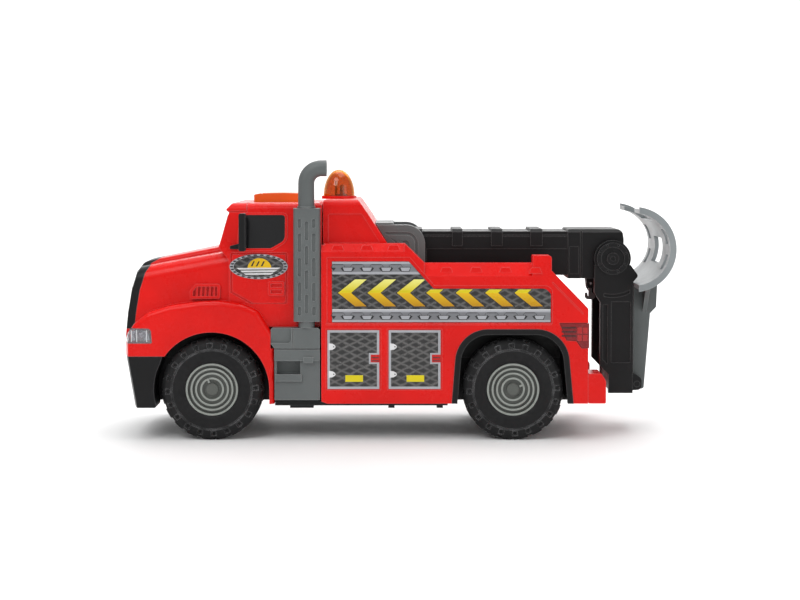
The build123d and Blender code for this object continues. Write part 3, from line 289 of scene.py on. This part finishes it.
# One material for each of the record's slots. Colours are linear red, green and blue.
# In plastic and ink, pale and edge set the painted highlight along the edges.
MATERIALS = {
    "red_plastic": plastic("red_plastic", (0.74, 0.005, 0.003), rough=0.27, grain=0.10, pale=0.16, edge=0.6,
                           coat=0.05, depth=0.03, gloss=0.20),
    "black_plastic": plastic("black_plastic", (0.0066, 0.0066, 0.0072), rough=0.40, grain=0.22,
                             grain_scale=2200, pale=0.10, edge=0.8, gloss=0.22),
    "grey_plastic": plastic("grey_plastic", (0.118, 0.130, 0.130), rough=0.40, grain=0.22,
                            grain_scale=2200, pale=0.24, edge=0.7),
    "light_grey_plastic": plastic("light_grey_plastic", (0.25, 0.272, 0.28), rough=0.34, grain=0.2,
                                  pale=0.25, edge=0.7),
    "orange_plastic": plastic("orange_plastic", (0.92, 0.15, 0.004), rough=0.28, grain=0.15, pale=0.15,
                              coat=0.2, depth=0.2),
    "dark_window": plastic("dark_window", (0.008, 0.008, 0.009), rough=0.14, grain=0.05, grain_scale=900,
                           pale=0.03, coat=0.3),
    # The hub's dark groove colour is painted shade and its pale ring colour is painted light.
    "hub_plastic": hub_painted_light("hub_plastic", (0.085, 0.092, 0.082), (0.29, 0.31, 0.285)),
    "tyre_rubber": rubbery("tyre_rubber", (0.0085, 0.0085, 0.009)),
    "amber_lens": lens("amber_lens", (0.62, 0.18, 0.004), clear=0.90, rough=0.04),
    "clear_lens": lens("clear_lens", (0.72, 0.72, 0.76), clear=0.85, rough=0.05, flutes=1250.0),
    "red_lens": lens("red_lens", (0.20, 0.0, 0.002), clear=0.10, rough=0.12),
    "decal": plate_print("decal_plate", (0.004, 0.004, 0.004), (0.105, 0.102, 0.100), 9.4 * MM, 4.7 * MM),
    "steel": metal("steel", (0.62, 0.62, 0.64), 0.28),
    "bright_trim": metal("bright_trim", (0.60, 0.60, 0.63), 0.22, (200, 200, 200)),
    "board_green": circuit_board("board_green"),
}

# The chevrons' points lie on one line, this high above the sticker's foot, and each half rises or
# falls this far from it.
CHEVRON_LINE, CHEVRON_RISE = 18.8, 8.6
chevron_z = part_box("side_decals")[0][2] + CHEVRON_LINE * MM
YELLOW_PRINT = graded_ink("yellow_print", (0.72, 0.60, 0.004), (0.80, 0.78, 0.22), chevron_z + 1 * MM,
                          chevron_z + CHEVRON_RISE * MM)
GOLD_PRINT = graded_ink("gold_print", (0.50, 0.24, 0.002), (0.72, 0.45, 0.004),
                        chevron_z - CHEVRON_RISE * MM, chevron_z)
SILVER_PRINT = ink("silver_print", (0.40, 0.41, 0.44), pale=0.2)
SHADE_PRINT = ink("shade_print", (0.20, 0.205, 0.22), pale=0.2)
DARK_PRINT = ink("dark_print", (0.016, 0.016, 0.018), rough=0.32)
WHITE_PRINT = ink("white_print", (0.74, 0.74, 0.75), rough=0.28, grain=0.08)
RED_PRINT = ink("red_print", (0.58, 0.010, 0.008), rough=0.28, grain=0.08)
LAMP_DARK = ink("lamp_dark", (0.035, 0.001, 0.001), rough=0.2, grain=0.05)
LAMP_BRIGHT = ink("lamp_bright", (0.42, 0.003, 0.004), rough=0.12, grain=0.05, coat=0.3)


# ---- mesh helpers -------------------------------------------------------
def piece(name, verts, faces, body, slot, material=None):
    """A new mesh piece, in metres, riding on a body."""
    mesh = bpy.data.meshes.new(name)
    mesh.from_pydata(verts, [], faces)
    obj = bpy.data.objects.new(name, mesh)
    bpy.context.scene.collection.objects.link(obj)
    work = bmesh.new()
    work.from_mesh(mesh)
    bmesh.ops.recalc_face_normals(work, faces=work.faces)
    work.to_mesh(mesh)
    work.free()
    mesh.materials.append(material or MATERIALS[slot])
    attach(obj, body)
    return obj


def soften(obj, width, segments=2, angle=30):
    """Rounds the sharp edges, as a mould does, and shades the rest smooth."""
    for polygon in obj.data.polygons:
        polygon.use_smooth = True
    bevel = obj.modifiers.new("edge", "BEVEL")
    bevel.width = width
    bevel.segments = segments
    bevel.limit_method = "ANGLE"
    bevel.angle_limit = radians(angle)
    bevel.harden_normals = True
    return obj


MOULDED_EDGE = 0.35 * MM
SHARP_EDGES = {"steel": 0.1 * MM, "decal": 0.04 * MM, "board_green": 0.1 * MM}


def dress_cad():
    """Each carried-over node gets its slot's material and rounded edges."""
    slots = {s["node"]: s["material_slot"] for s in frame["record"]["subparts"]}
    for name, obj in nodes.items():
        material = MATERIALS[slots[name]]
        for place in obj.material_slots:
            place.material = material
        if not obj.material_slots:
            obj.data.materials.append(material)
        soften(obj, SHARP_EDGES.get(slots[name], MOULDED_EDGE))


# ---- tyres --------------------------------------------------------------
LUGS = 20
TREAD = 1.0
TYRE_WIDTH = 22 * MM
# Across the tyre from its outer bead: distance in, radius, how far the shoulder grooves sink in
# each direction, and how far the centre grooves sink.
TYRE_SECTION = [
    (1.6, 16.9, 0, 0, 0), (0.7, 17.8, 0, 0, 0), (0.3, 19.5, 0, 0, 0), (0.1, 22.5, 0, 0, 0),
    (0.1, 25.0, 0, 0, 0), (0.55, 25.3, 0, 0, 0), (0.55, 25.7, 0, 0, 0), (0.1, 26.0, 0, 0, 0),
    (0.15, 26.5, 0.05, 0, 0), (0.2, 26.8, 1.3, 0, 0), (0.7, 29.3, 1.5, 0, 0), (1.0, 29.7, 0.3, 0, 0),
    (2.2, 31.4, 0.2, 0.3, 0), (3.6, 32.2, 0, 0.9, 0),
    (4.4, 32.4, 0, TREAD, 0), (6.6, 32.4, 0, TREAD, 0),
    (6.9, 31.2, 0, 0, 0), (7.7, 31.2, 0, 0, 0), (8.0, 32.4, 0, 0, TREAD), (10.6, 32.4, 0, 0, TREAD),
    (10.8, 31.4, 0, 0, 0)]
# Round the tyre, for each lug: the share of its pitch, and whether the shoulder or the centre sinks.
GROOVE_STEPS = [
    (0.0, 1, 0), (0.26, 1, 0), (0.31, 0, 0), (0.45, 0, 0),
    (0.50, 0, 1), (0.76, 0, 1), (0.81, 0, 0), (0.95, 0, 0)]


def make_tyre(name, axle, outer_y, inner_y, body):
    """A tyre with shoulder lugs that wrap onto the sidewall and a staggered centre row."""
    width = abs(inner_y - outer_y) / MM
    inward = 1 if inner_y > outer_y else -1
    far_half = [(width - y, r, -sink_y, *sinks) for y, r, sink_y, *sinks in reversed(TYRE_SECTION)]
    section = TYRE_SECTION + far_half
    verts, faces = [], []
    for lug in range(LUGS):
        for part, shoulder, centre in GROOVE_STEPS:
            turn = 2 * pi * (lug + part) / LUGS
            for y, r, sink_y, sink_r, sink_centre in section:
                radius = (r - sink_r * shoulder - sink_centre * centre) * MM
                across = outer_y + inward * (y + sink_y * shoulder) * MM
                verts.append((axle[0] + radius * cos(turn), across, axle[1] + radius * sin(turn)))
    rows, count = LUGS * len(GROOVE_STEPS), len(section)
    for i in range(rows):
        for j in range(count):
            a, b = i * count, (i + 1) % rows * count
            faces.append((a + j, a + (j + 1) % count, b + (j + 1) % count, b + j))
    tyre = piece(name, verts, faces, body, "tyre_rubber")
    return soften(tyre, 0.22 * MM, 1, 35)


def make_tyres():
    """Four tyres, which stand for the plain rings of the CAD model."""
    for end in ("front", "rear"):
        node = end + "_tyres"
        low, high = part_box(node)
        axle = ((low[0] + high[0]) / 2, (low[2] + high[2]) / 2)
        body = end + "_wheelset"
        left = make_tyre(end + "_tyre_left", axle, low[1], low[1] + TYRE_WIDTH, body)
        right = make_tyre(end + "_tyre_right", axle, high[1], high[1] - TYRE_WIDTH, body)
        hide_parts(node)
        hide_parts(node)


# ---- button spring, gate marks and lamps --------------------------------
SPRING_TURNS, SPRING_STEPS, WIRE_SIDES = 5, 28, 10
WIRE_RADIUS = 0.45 * MM


def make_button_spring():
    """A wound wire spring for the roof button to press down."""
    low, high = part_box("button_spring")
    middle = ((low[0] + high[0]) / 2, (low[1] + high[1]) / 2)
    coil = (high[0] - low[0]) / 2 - WIRE_RADIUS
    rise = high[2] - low[2] - 2 * WIRE_RADIUS
    rows = SPRING_TURNS * SPRING_STEPS
    verts, faces = [], []
    for row in range(rows + 1):
        turn = 2 * pi * row / SPRING_STEPS
        height = low[2] + WIRE_RADIUS + rise * row / rows
        for side in range(WIRE_SIDES):
            around = 2 * pi * side / WIRE_SIDES
            reach = coil + WIRE_RADIUS * cos(around)
            verts.append((middle[0] + reach * cos(turn), middle[1] + reach * sin(turn),
                          height + WIRE_RADIUS * sin(around)))
    for row in range(rows):
        for side in range(WIRE_SIDES):
            near, far = row * WIRE_SIDES, (row + 1) * WIRE_SIDES
            following = (side + 1) % WIRE_SIDES
            faces.append((near + side, near + following, far + following, far + side))
    faces.append(tuple(range(WIRE_SIDES)))
    faces.append(tuple(range(rows * WIRE_SIDES, (rows + 1) * WIRE_SIDES)))
    spring = piece("wound_button_spring", verts, faces, "truck", "steel")
    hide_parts("button_spring")
    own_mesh(spring)


# The wedge runs from one radius to the other, this wide either side of its middle.
GATE_INNER, GATE_OUTER, GATE_HALF = 4.6, 7.4, 0.55
GATE_TURNS = {"front": radians(112), "rear": radians(25)}


def make_gate_marks():
    """The small wedge left on each hub's rings where the moulding gate was."""
    for end, turn in GATE_TURNS.items():
        low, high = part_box(end + "_hubs")
        middle_x, middle_z = (low[0] + high[0]) / 2, (low[2] + high[2]) / 2
        wedge = []
        for radius, side in ((GATE_INNER, -1), (GATE_OUTER, -1), (GATE_OUTER, 1), (GATE_INNER, 1)):
            around = turn + side * GATE_HALF / radius
            wedge.append((middle_x + radius * MM * cos(around), middle_z + radius * MM * sin(around)))
        prism_piece(end + "_gate_marks", [wedge], abs(low[1]) - 1.2 * MM, 0.6 * MM, "hub_plastic",
                    body=end + "_wheelset")


def make_lamp_blocks():
    """The stripes and reflector blocks that show in the tail lamps, and the headlamps' bright bars."""
    out, _, right, _, top = sticker_extent("tail_lamp_lenses")
    stripe_start, stripe_end, stripe_height = right - 17.5, right - 8.5, 0.8
    stripes = [rectangle(stripe_start, stripe_end, z - stripe_height, z)
               for z in (top - 2.4, top - 5.0, top - 7.6)]
    block_width, block_height = 3.0, 4.0
    blocks = [rectangle(x, x + block_width, z - block_height, z)
              for x in (right - 7.6, right - 4.0) for z in (top - 2.6, top - 7.2)]
    prism_piece("tail_lamp_stripes", stripes, out, 250 * MICRON, "red_lens", LAMP_DARK)
    prism_piece("tail_lamp_blocks", blocks, out, 300 * MICRON, "red_lens", LAMP_BRIGHT, soft=150 * MICRON)
    out, left, _, foot, _ = sticker_extent("headlamp_lenses")
    bar_width, bar_low, bar_high = 0.5, foot + 1.0, foot + 8.6
    bars = [rectangle(x, x + bar_width, bar_low, bar_high) for x in (left + 5.6, left + 9.0, left + 15.2)]
    prism_piece("headlamp_bars", bars, out, 200 * MICRON, "clear_lens", WHITE_PRINT, soft=100 * MICRON)


# ---- flat shapes, in millimetres ----------------------------------------
def sticker_extent(node):
    """A flat node's outer face, in metres, and its left, right, foot and top in millimetres."""
    low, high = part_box(node)
    return high[1], low[0] / MM, high[0] / MM, low[2] / MM, high[2] / MM


def millimetres(shape, dx=0.0, dz=0.0):
    """A shape in millimetres, moved and turned into metres."""
    return [((x + dx) * MM, (z + dz) * MM) for x, z in shape]


def rectangle(x0, x1, z0, z1):
    return millimetres([(x0, z0), (x1, z0), (x1, z1), (x0, z1)])


def ring_points(centre, rx, rz, count, end=2 * pi):
    """Points round an ellipse, from its right up to an angle, which has no point itself."""
    turns = [end / count * i for i in range(count)]
    return millimetres([(rx * cos(turn), rz * sin(turn)) for turn in turns], *centre)


def flipped(shape):
    """A shape turned upside down."""
    return [(x, -z) for x, z in shape]


def clip(shape, nx, nz, limit):
    """The part of a convex shape where nx * x + nz * z is at most the limit."""
    kept = []
    for i, a in enumerate(shape):
        b = shape[(i + 1) % len(shape)]
        past_a = nx * a[0] + nz * a[1] - limit
        past_b = nx * b[0] + nz * b[1] - limit
        if past_a <= 0:
            kept.append(a)
        if past_a * past_b < 0:
            part = past_a / (past_a - past_b)
            kept.append((a[0] + part * (b[0] - a[0]), a[1] + part * (b[1] - a[1])))
    return kept


def prism_piece(name, shapes, out, thick, slot, material=None, body="truck", soft=0.0):
    """Flat shapes in X and Z raised on both sides of the truck, from out to out + thick."""
    verts, faces = [], []
    for side in (-1, 1):
        for shape in shapes:
            first, count = len(verts), len(shape)
            for y in (out, out + thick):
                verts += [(x, side * y, z) for x, z in shape]
            faces.append(tuple(range(first, first + count)))
            faces.append(tuple(range(first + 2 * count - 1, first + count - 1, -1)))
            for i in range(count):
                j = (i + 1) % count
                faces.append((first + i, first + j, first + count + j, first + count + i))
    obj = piece(name, verts, faces, body, slot, material)
    return soften(obj, soft, 1) if soft else obj


# ---- side stickers ------------------------------------------------------
# The sticker's top edge falls by a step, down a slope that starts this far from its left end.
STEP_DROP, SLOPE_START, SLOPE_RUN = 17.3, 49.0, 15.7
# How far inside the slope a print stops, times the slope's length.
CHEVRON_MARGIN, BAND_MARGIN = 14, 6

CHEVRONS, HIGH_CHEVRONS = 7, 3
CHEVRON_PITCH, FIRST_CHEVRON = 18.7, 3.9
# The upper half of a chevron, from its point on the left, and of the dark border behind it.
CHEVRON_HALF = [(0, 0), (8.3, 0), (18.2, CHEVRON_RISE), (10.8, CHEVRON_RISE)]
BORDER_HALF = [(-0.9, -0.05), (8.9, -0.05), (19.8, 9.2), (10.3, 9.2)]

UPPER_CHAIN, LINK_PITCH = 60, 12.2
LINK_FACE = [(-3.2, 4.35), (3.2, 4.35), (2.2, 2.1), (-2.2, 2.1)]
LINK_BORDER = [(-3.7, 4.7), (3.7, 4.7), (2.6, 1.7), (-2.6, 1.7)]
LINK_GAP = [(-1.5, 0), (1.5, 0), (0, -2.1)]


def sloped_end(left, top, margin):
    """The sticker's slope, as the limit that clip takes."""
    return STEP_DROP, SLOPE_RUN, (STEP_DROP * (left + SLOPE_START) + SLOPE_RUN * top - margin) * MM


def make_chevrons():
    """A row of chevrons, pale above and golden below, of which the last ones are cut off short."""
    out, left, _, foot, top = sticker_extent("side_decals")
    slope = sloped_end(left, top, CHEVRON_MARGIN)
    low_edge = (0, 1, (top - STEP_DROP - 0.5) * MM)
    borders, upper, lower = [], [], []
    for i in range(CHEVRONS):
        cut = slope if i < HIGH_CHEVRONS else low_edge
        point = (left + FIRST_CHEVRON + CHEVRON_PITCH * i, foot + CHEVRON_LINE)
        borders.append(clip(millimetres(BORDER_HALF, *point), *cut))
        borders.append(millimetres(flipped(BORDER_HALF), *point))
        upper.append(clip(millimetres(CHEVRON_HALF, *point), *cut))
        lower.append(millimetres(flipped(CHEVRON_HALF), *point))
    prism_piece("chevron_borders", borders, out, 80 * MICRON, "decal", DARK_PRINT)
    prism_piece("chevrons_bright", upper, out, 140 * MICRON, "decal", YELLOW_PRINT)
    prism_piece("chevrons_deep", lower, out, 140 * MICRON, "decal", GOLD_PRINT)


def make_chains():
    """A flat chain printed on a silver band along the sticker's top and another along its foot."""
    out, left, right, foot, top = sticker_extent("side_decals")
    start, stop = left + 0.2, right - 0.3
    slope = sloped_end(left, top, BAND_MARGIN)
    bands = [clip(rectangle(start, left + UPPER_CHAIN, top - 8.2, top - 0.2), *slope),
             rectangle(start, stop, foot + 0.2, foot + 7.8)]
    shades = [clip(rectangle(start, left + UPPER_CHAIN, top - 6.6, top - 1.6), *slope),
              rectangle(start, stop, foot + 1.5, foot + 6.5)]
    prism_piece("chain_bands", bands, out, 100 * MICRON, "decal", SILVER_PRINT)
    prism_piece("chain_shades", shades, out + 100 * MICRON, 20 * MICRON, "decal", SHADE_PRINT)
    lines, borders, faces, gaps = [], [], [], []
    for base, end in ((top - 8.2, left + SLOPE_START), (foot - 0.1, right - 6)):
        x = left + 4.0
        while x < end:
            lines += link_lines(x, base + 6.0)
            gaps += [millimetres(LINK_GAP, x + shift, base + 4.2) for shift in (-2.9, 2.9)]
            if x + 6 < end:
                borders.append(millimetres(LINK_BORDER, x + LINK_PITCH / 2, base))
                faces.append(millimetres(LINK_FACE, x + LINK_PITCH / 2, base))
            x += LINK_PITCH
    link_face = out + 120 * MICRON
    prism_piece("chain_link_lines", lines, link_face, 60 * MICRON, "decal", DARK_PRINT)
    prism_piece("chain_link_gaps", gaps + borders, link_face, 50 * MICRON, "decal", DARK_PRINT)
    prism_piece("chain_link_faces", faces, link_face + 50 * MICRON, 40 * MICRON, "decal", SILVER_PRINT)
    rule = rectangle(start, stop, foot + 7.8, foot + 8.3)
    prism_piece("decal_rules", [rule], out, 120 * MICRON, "decal", WHITE_PRINT)


def link_lines(x, z):
    """The outline of a link's back: a flat top and two sloping ends."""
    line, half, drop, spread = 0.4, 3.2, 1.9, 1.3
    shapes = [rectangle(x - half, x + half, z, z + line)]
    for side in (-1, 1):
        near, far = x + side * half, x + side * (half + spread)
        end = [(near, z + line), (near + side * line, z), (far + side * line, z - drop), (far, z - drop)]
        shapes.append(millimetres(end))
    return shapes


# ---- locker stickers ----------------------------------------------------
LOCKER_DOOR, FRAME_BAR = 33.0, 1.5
# The notch for the latch: its foot and top above the door's foot, its depth and its lines.
NOTCH_FOOT, NOTCH_TOP, NOTCH_DEPTH = 16.4, 22.6, 6.6
NOTCH_INSIDE, NOTCH_OUTSIDE, NOTCH_LINE = 0.6, 0.4, 1.1
HINGE_HEIGHTS = (9.4, 27.0)
HINGE_TAB = [(0.8, -2.2), (3.2, -1.9), (4.8, -0.9), (5.2, 0), (4.8, 0.9), (3.2, 1.9), (0.8, 2.2)]


def locker_frame(x0, foot, top):
    """The silver line round a locker door, which steps in round the latch."""
    x1, notch_x = x0 + LOCKER_DOOR, x0 + LOCKER_DOOR - NOTCH_DEPTH
    notch_low, notch_high = foot + NOTCH_FOOT, foot + NOTCH_TOP
    below, above = notch_low - NOTCH_OUTSIDE, notch_high + NOTCH_OUTSIDE
    inside_low, inside_high = notch_low + NOTCH_INSIDE, notch_high - NOTCH_INSIDE
    return [
        rectangle(x0, x1, top - FRAME_BAR, top),
        rectangle(x0, x1, foot, foot + FRAME_BAR),
        rectangle(x0, x0 + FRAME_BAR, foot + FRAME_BAR, top - FRAME_BAR),
        rectangle(x1 - FRAME_BAR, x1, foot + FRAME_BAR, below),
        rectangle(x1 - FRAME_BAR, x1, above, top - FRAME_BAR),
        rectangle(notch_x, notch_x + NOTCH_LINE, inside_low, inside_high),
        rectangle(notch_x, x1, below, inside_low),
        rectangle(notch_x, x1, inside_high, above)]


def make_locker_prints():
    """Two printed doors on each side, with hinge tabs, a red latch and a blank name bar."""
    out, left, right, foot, top = sticker_extent("locker_decals")
    silver, red, dark, white, yellow = [], [], [], [], []
    for x0 in (left, right - LOCKER_DOOR):
        silver += locker_frame(x0, foot, top)
        x1 = x0 + LOCKER_DOOR
        notch_x, notch_low = x1 - NOTCH_DEPTH, foot + NOTCH_FOOT
        red.append(rectangle(notch_x + NOTCH_LINE, x1 + 0.1, notch_low + NOTCH_INSIDE,
                             foot + NOTCH_TOP - NOTCH_INSIDE))
        dark += [rectangle(notch_x + 1.6, x1 - 0.3, z, z + 0.5) for z in (notch_low + 1.4, notch_low + 3.4)]
        for z in (foot + height for height in HINGE_HEIGHTS):
            white.append(millimetres(HINGE_TAB, x0, z))
            dark.append(ring_points((x0 + 4.0, z), 0.45, 0.45, 10))
        yellow.append(rectangle(x0 + 11.4, x0 + 22.6, foot + 4.6, foot + 8.8))
    prism_piece("locker_frames", silver, out, 120 * MICRON, "decal", SILVER_PRINT)
    prism_piece("locker_latches", red, out, 80 * MICRON, "decal", RED_PRINT)
    prism_piece("locker_hinge_tabs", white, out, 160 * MICRON, "decal", WHITE_PRINT)
    prism_piece("locker_marks", dark, out, 210 * MICRON, "decal", DARK_PRINT)
    prism_piece("locker_name_bars", yellow, out, 140 * MICRON, "decal", YELLOW_PRINT)


# ---- door badges --------------------------------------------------------
RIM_STEPS, RIM_INSIDE = 72, 0.86
BADGE_TEETH = 26
# A tooth of the rim: share of the badge's radius, and turn from the tooth's middle.
TOOTH = [(0.98, -0.05), (0.98, 0.05), (0.88, 0.08), (0.88, -0.08)]
# Half the sun, and where its flat foot lies from the badge's middle.
SUN_WIDE, SUN_HIGH, SUN_PLACE = 7.6, 6.6, (0.5, -1.2)
SUN_BAR = [(-5, 0.2), (-4, 0.2), (-2.4, 3.4), (-3.4, 3.4)]


def make_badges():
    """A generic oval door badge: toothed rim, low sun and speed stripes, no lettering."""
    out, left, right, foot, top = sticker_extent("door_badges")
    centre = ((left + right) / 2, (foot + top) / 2)
    rx, rz = (right - left) / 2, (top - foot) / 2

    def on_oval(part, turn):
        return rx * part * cos(turn), rz * part * sin(turn)

    rim, teeth = [], []
    step = 2 * pi / RIM_STEPS
    for i in range(RIM_STEPS):
        a, b = step * i, step * (i + 1)
        corners = [on_oval(1, a), on_oval(1, b), on_oval(RIM_INSIDE, b), on_oval(RIM_INSIDE, a)]
        rim.append(millimetres(corners, *centre))
    for i in range(BADGE_TEETH):
        middle = 2 * pi * i / BADGE_TEETH
        teeth.append(millimetres([on_oval(part, middle + turn) for part, turn in TOOTH], *centre))
    sun_centre = (centre[0] + SUN_PLACE[0], centre[1] + SUN_PLACE[1])
    sun = ring_points(sun_centre, SUN_WIDE, SUN_HIGH, 24, pi) + millimetres([(-SUN_WIDE, 0)], *sun_centre)
    stripes = []
    for k in range(3):
        reach = rx * 0.76 * (1 - 0.16 * k)
        stripe = [(-reach, 0), (reach, 0.3), (reach - 2, -0.8), (1.5 - reach, -1.0)]
        stripes.append(millimetres(stripe, centre[0], centre[1] - 0.9 - 1.7 * k))
    bars = [millimetres(SUN_BAR, centre[0] + 3.2 * k, centre[1]) for k in range(3)]
    prism_piece("badge_rims", rim, out, 100 * MICRON, "decal", SILVER_PRINT)
    prism_piece("badge_teeth", teeth, out + 100 * MICRON, 60 * MICRON, "decal", DARK_PRINT)
    prism_piece("badge_suns", [sun], out, 110 * MICRON, "decal", GOLD_PRINT)
    prism_piece("badge_stripes", stripes, out, 130 * MICRON, "decal", WHITE_PRINT)
    prism_piece("badge_bars", bars, out + 110 * MICRON, 60 * MICRON, "decal", DARK_PRINT)


# ---- floor, light and camera -------------------------------------------
def make_stage():
    """A pale floor that curves up into a wall behind the truck."""
    mesh = bpy.data.meshes.new("floor")
    half_width, front, back, curve, wall_top, steps = 3.0, -4.0, 1.2, 0.9, 2.4, 12
    rows = [(front, 0.0), (back, 0.0)]
    for i in range(1, steps + 1):
        turn = pi / 2 * i / steps
        rows.append((back + curve * sin(turn), curve - curve * cos(turn)))
    rows.append((back + curve, wall_top))
    verts = [(x, y, z) for y, z in rows for x in (-half_width, half_width)]
    mesh.from_pydata(verts, [], [(2 * i, 2 * i + 1, 2 * i + 3, 2 * i + 2) for i in range(len(rows) - 1)])
    for polygon in mesh.polygons:
        polygon.use_smooth = True
    floor = bpy.data.objects.new("floor", mesh)
    bpy.context.scene.collection.objects.link(floor)
    material, tree, shader = new_material("floor")
    grain = remap(tree, noise(tree, 6, 3), 0.3, 0.7, 0, 1)
    pale = mix_colour(tree, grain, (0.86, 0.86, 0.86), (0.90, 0.90, 0.90))
    tree.links.new(pale, shader.inputs["Base Color"])
    shader.inputs["Roughness"].default_value = 0.7
    mesh.materials.append(material)


def make_light(name, place, aim, size, power):
    """A soft rectangular lamp that points at a place."""
    data = bpy.data.lights.new(name, "AREA")
    data.shape, data.size, data.size_y, data.energy = "RECTANGLE", size[0], size[1], power
    light = bpy.data.objects.new(name, data)
    bpy.context.scene.collection.objects.link(light)
    light.location = place
    light.rotation_euler = (Vector(aim) - Vector(place)).to_track_quat("-Z", "Y").to_euler()


def make_lights():
    """White studio light from above and from both ends, and a white room."""
    bpy.context.scene.view_settings.view_transform = "Standard"
    world = bpy.context.scene.world or bpy.data.worlds.new("studio")
    bpy.context.scene.world = world
    world.use_nodes = True
    background = world.node_tree.nodes["Background"]
    background.inputs["Color"].default_value = (1, 1, 1, 1)
    background.inputs["Strength"].default_value = 0.50
    middle = (0, 0, 0.08)
    make_light("key", (-0.7, -1.1, 1.3), middle, (0.9, 0.9), 10)
    make_light("top", (0.1, 0.1, 1.6), middle, (1.6, 1.2), 15)
    make_light("fill", (1.2, -1.2, 0.5), middle, (1.0, 1.0), 4)
    make_light("back", (0.2, 1.4, 1.1), middle, (1.6, 0.8), 10)
    make_light("backdrop", (0, 0.9, 1.7), (0, 2.1, 0.8), (2.6, 0.6), 22)


def make_camera():
    """A long lens level with the roof, square to the left side and tipped down a little."""
    data = bpy.data.cameras.new("camera")
    data.lens, data.sensor_width = 73.1, 36.0
    data.shift_y = -0.0876
    camera = bpy.data.objects.new("camera", data)
    bpy.context.scene.collection.objects.link(camera)
    eye_height, distance, tip = 0.179, 1.086, radians(2.475)
    camera.location = (0.0025, -distance, eye_height)
    camera.rotation_euler = (pi / 2 - tip, 0, 0)
    bpy.context.scene.camera = camera


make_stage()
make_lights()
make_camera()
dress_cad()
make_tyres()
make_button_spring()
make_gate_marks()
make_lamp_blocks()
make_chevrons()
make_chains()
make_locker_prints()
make_badges()
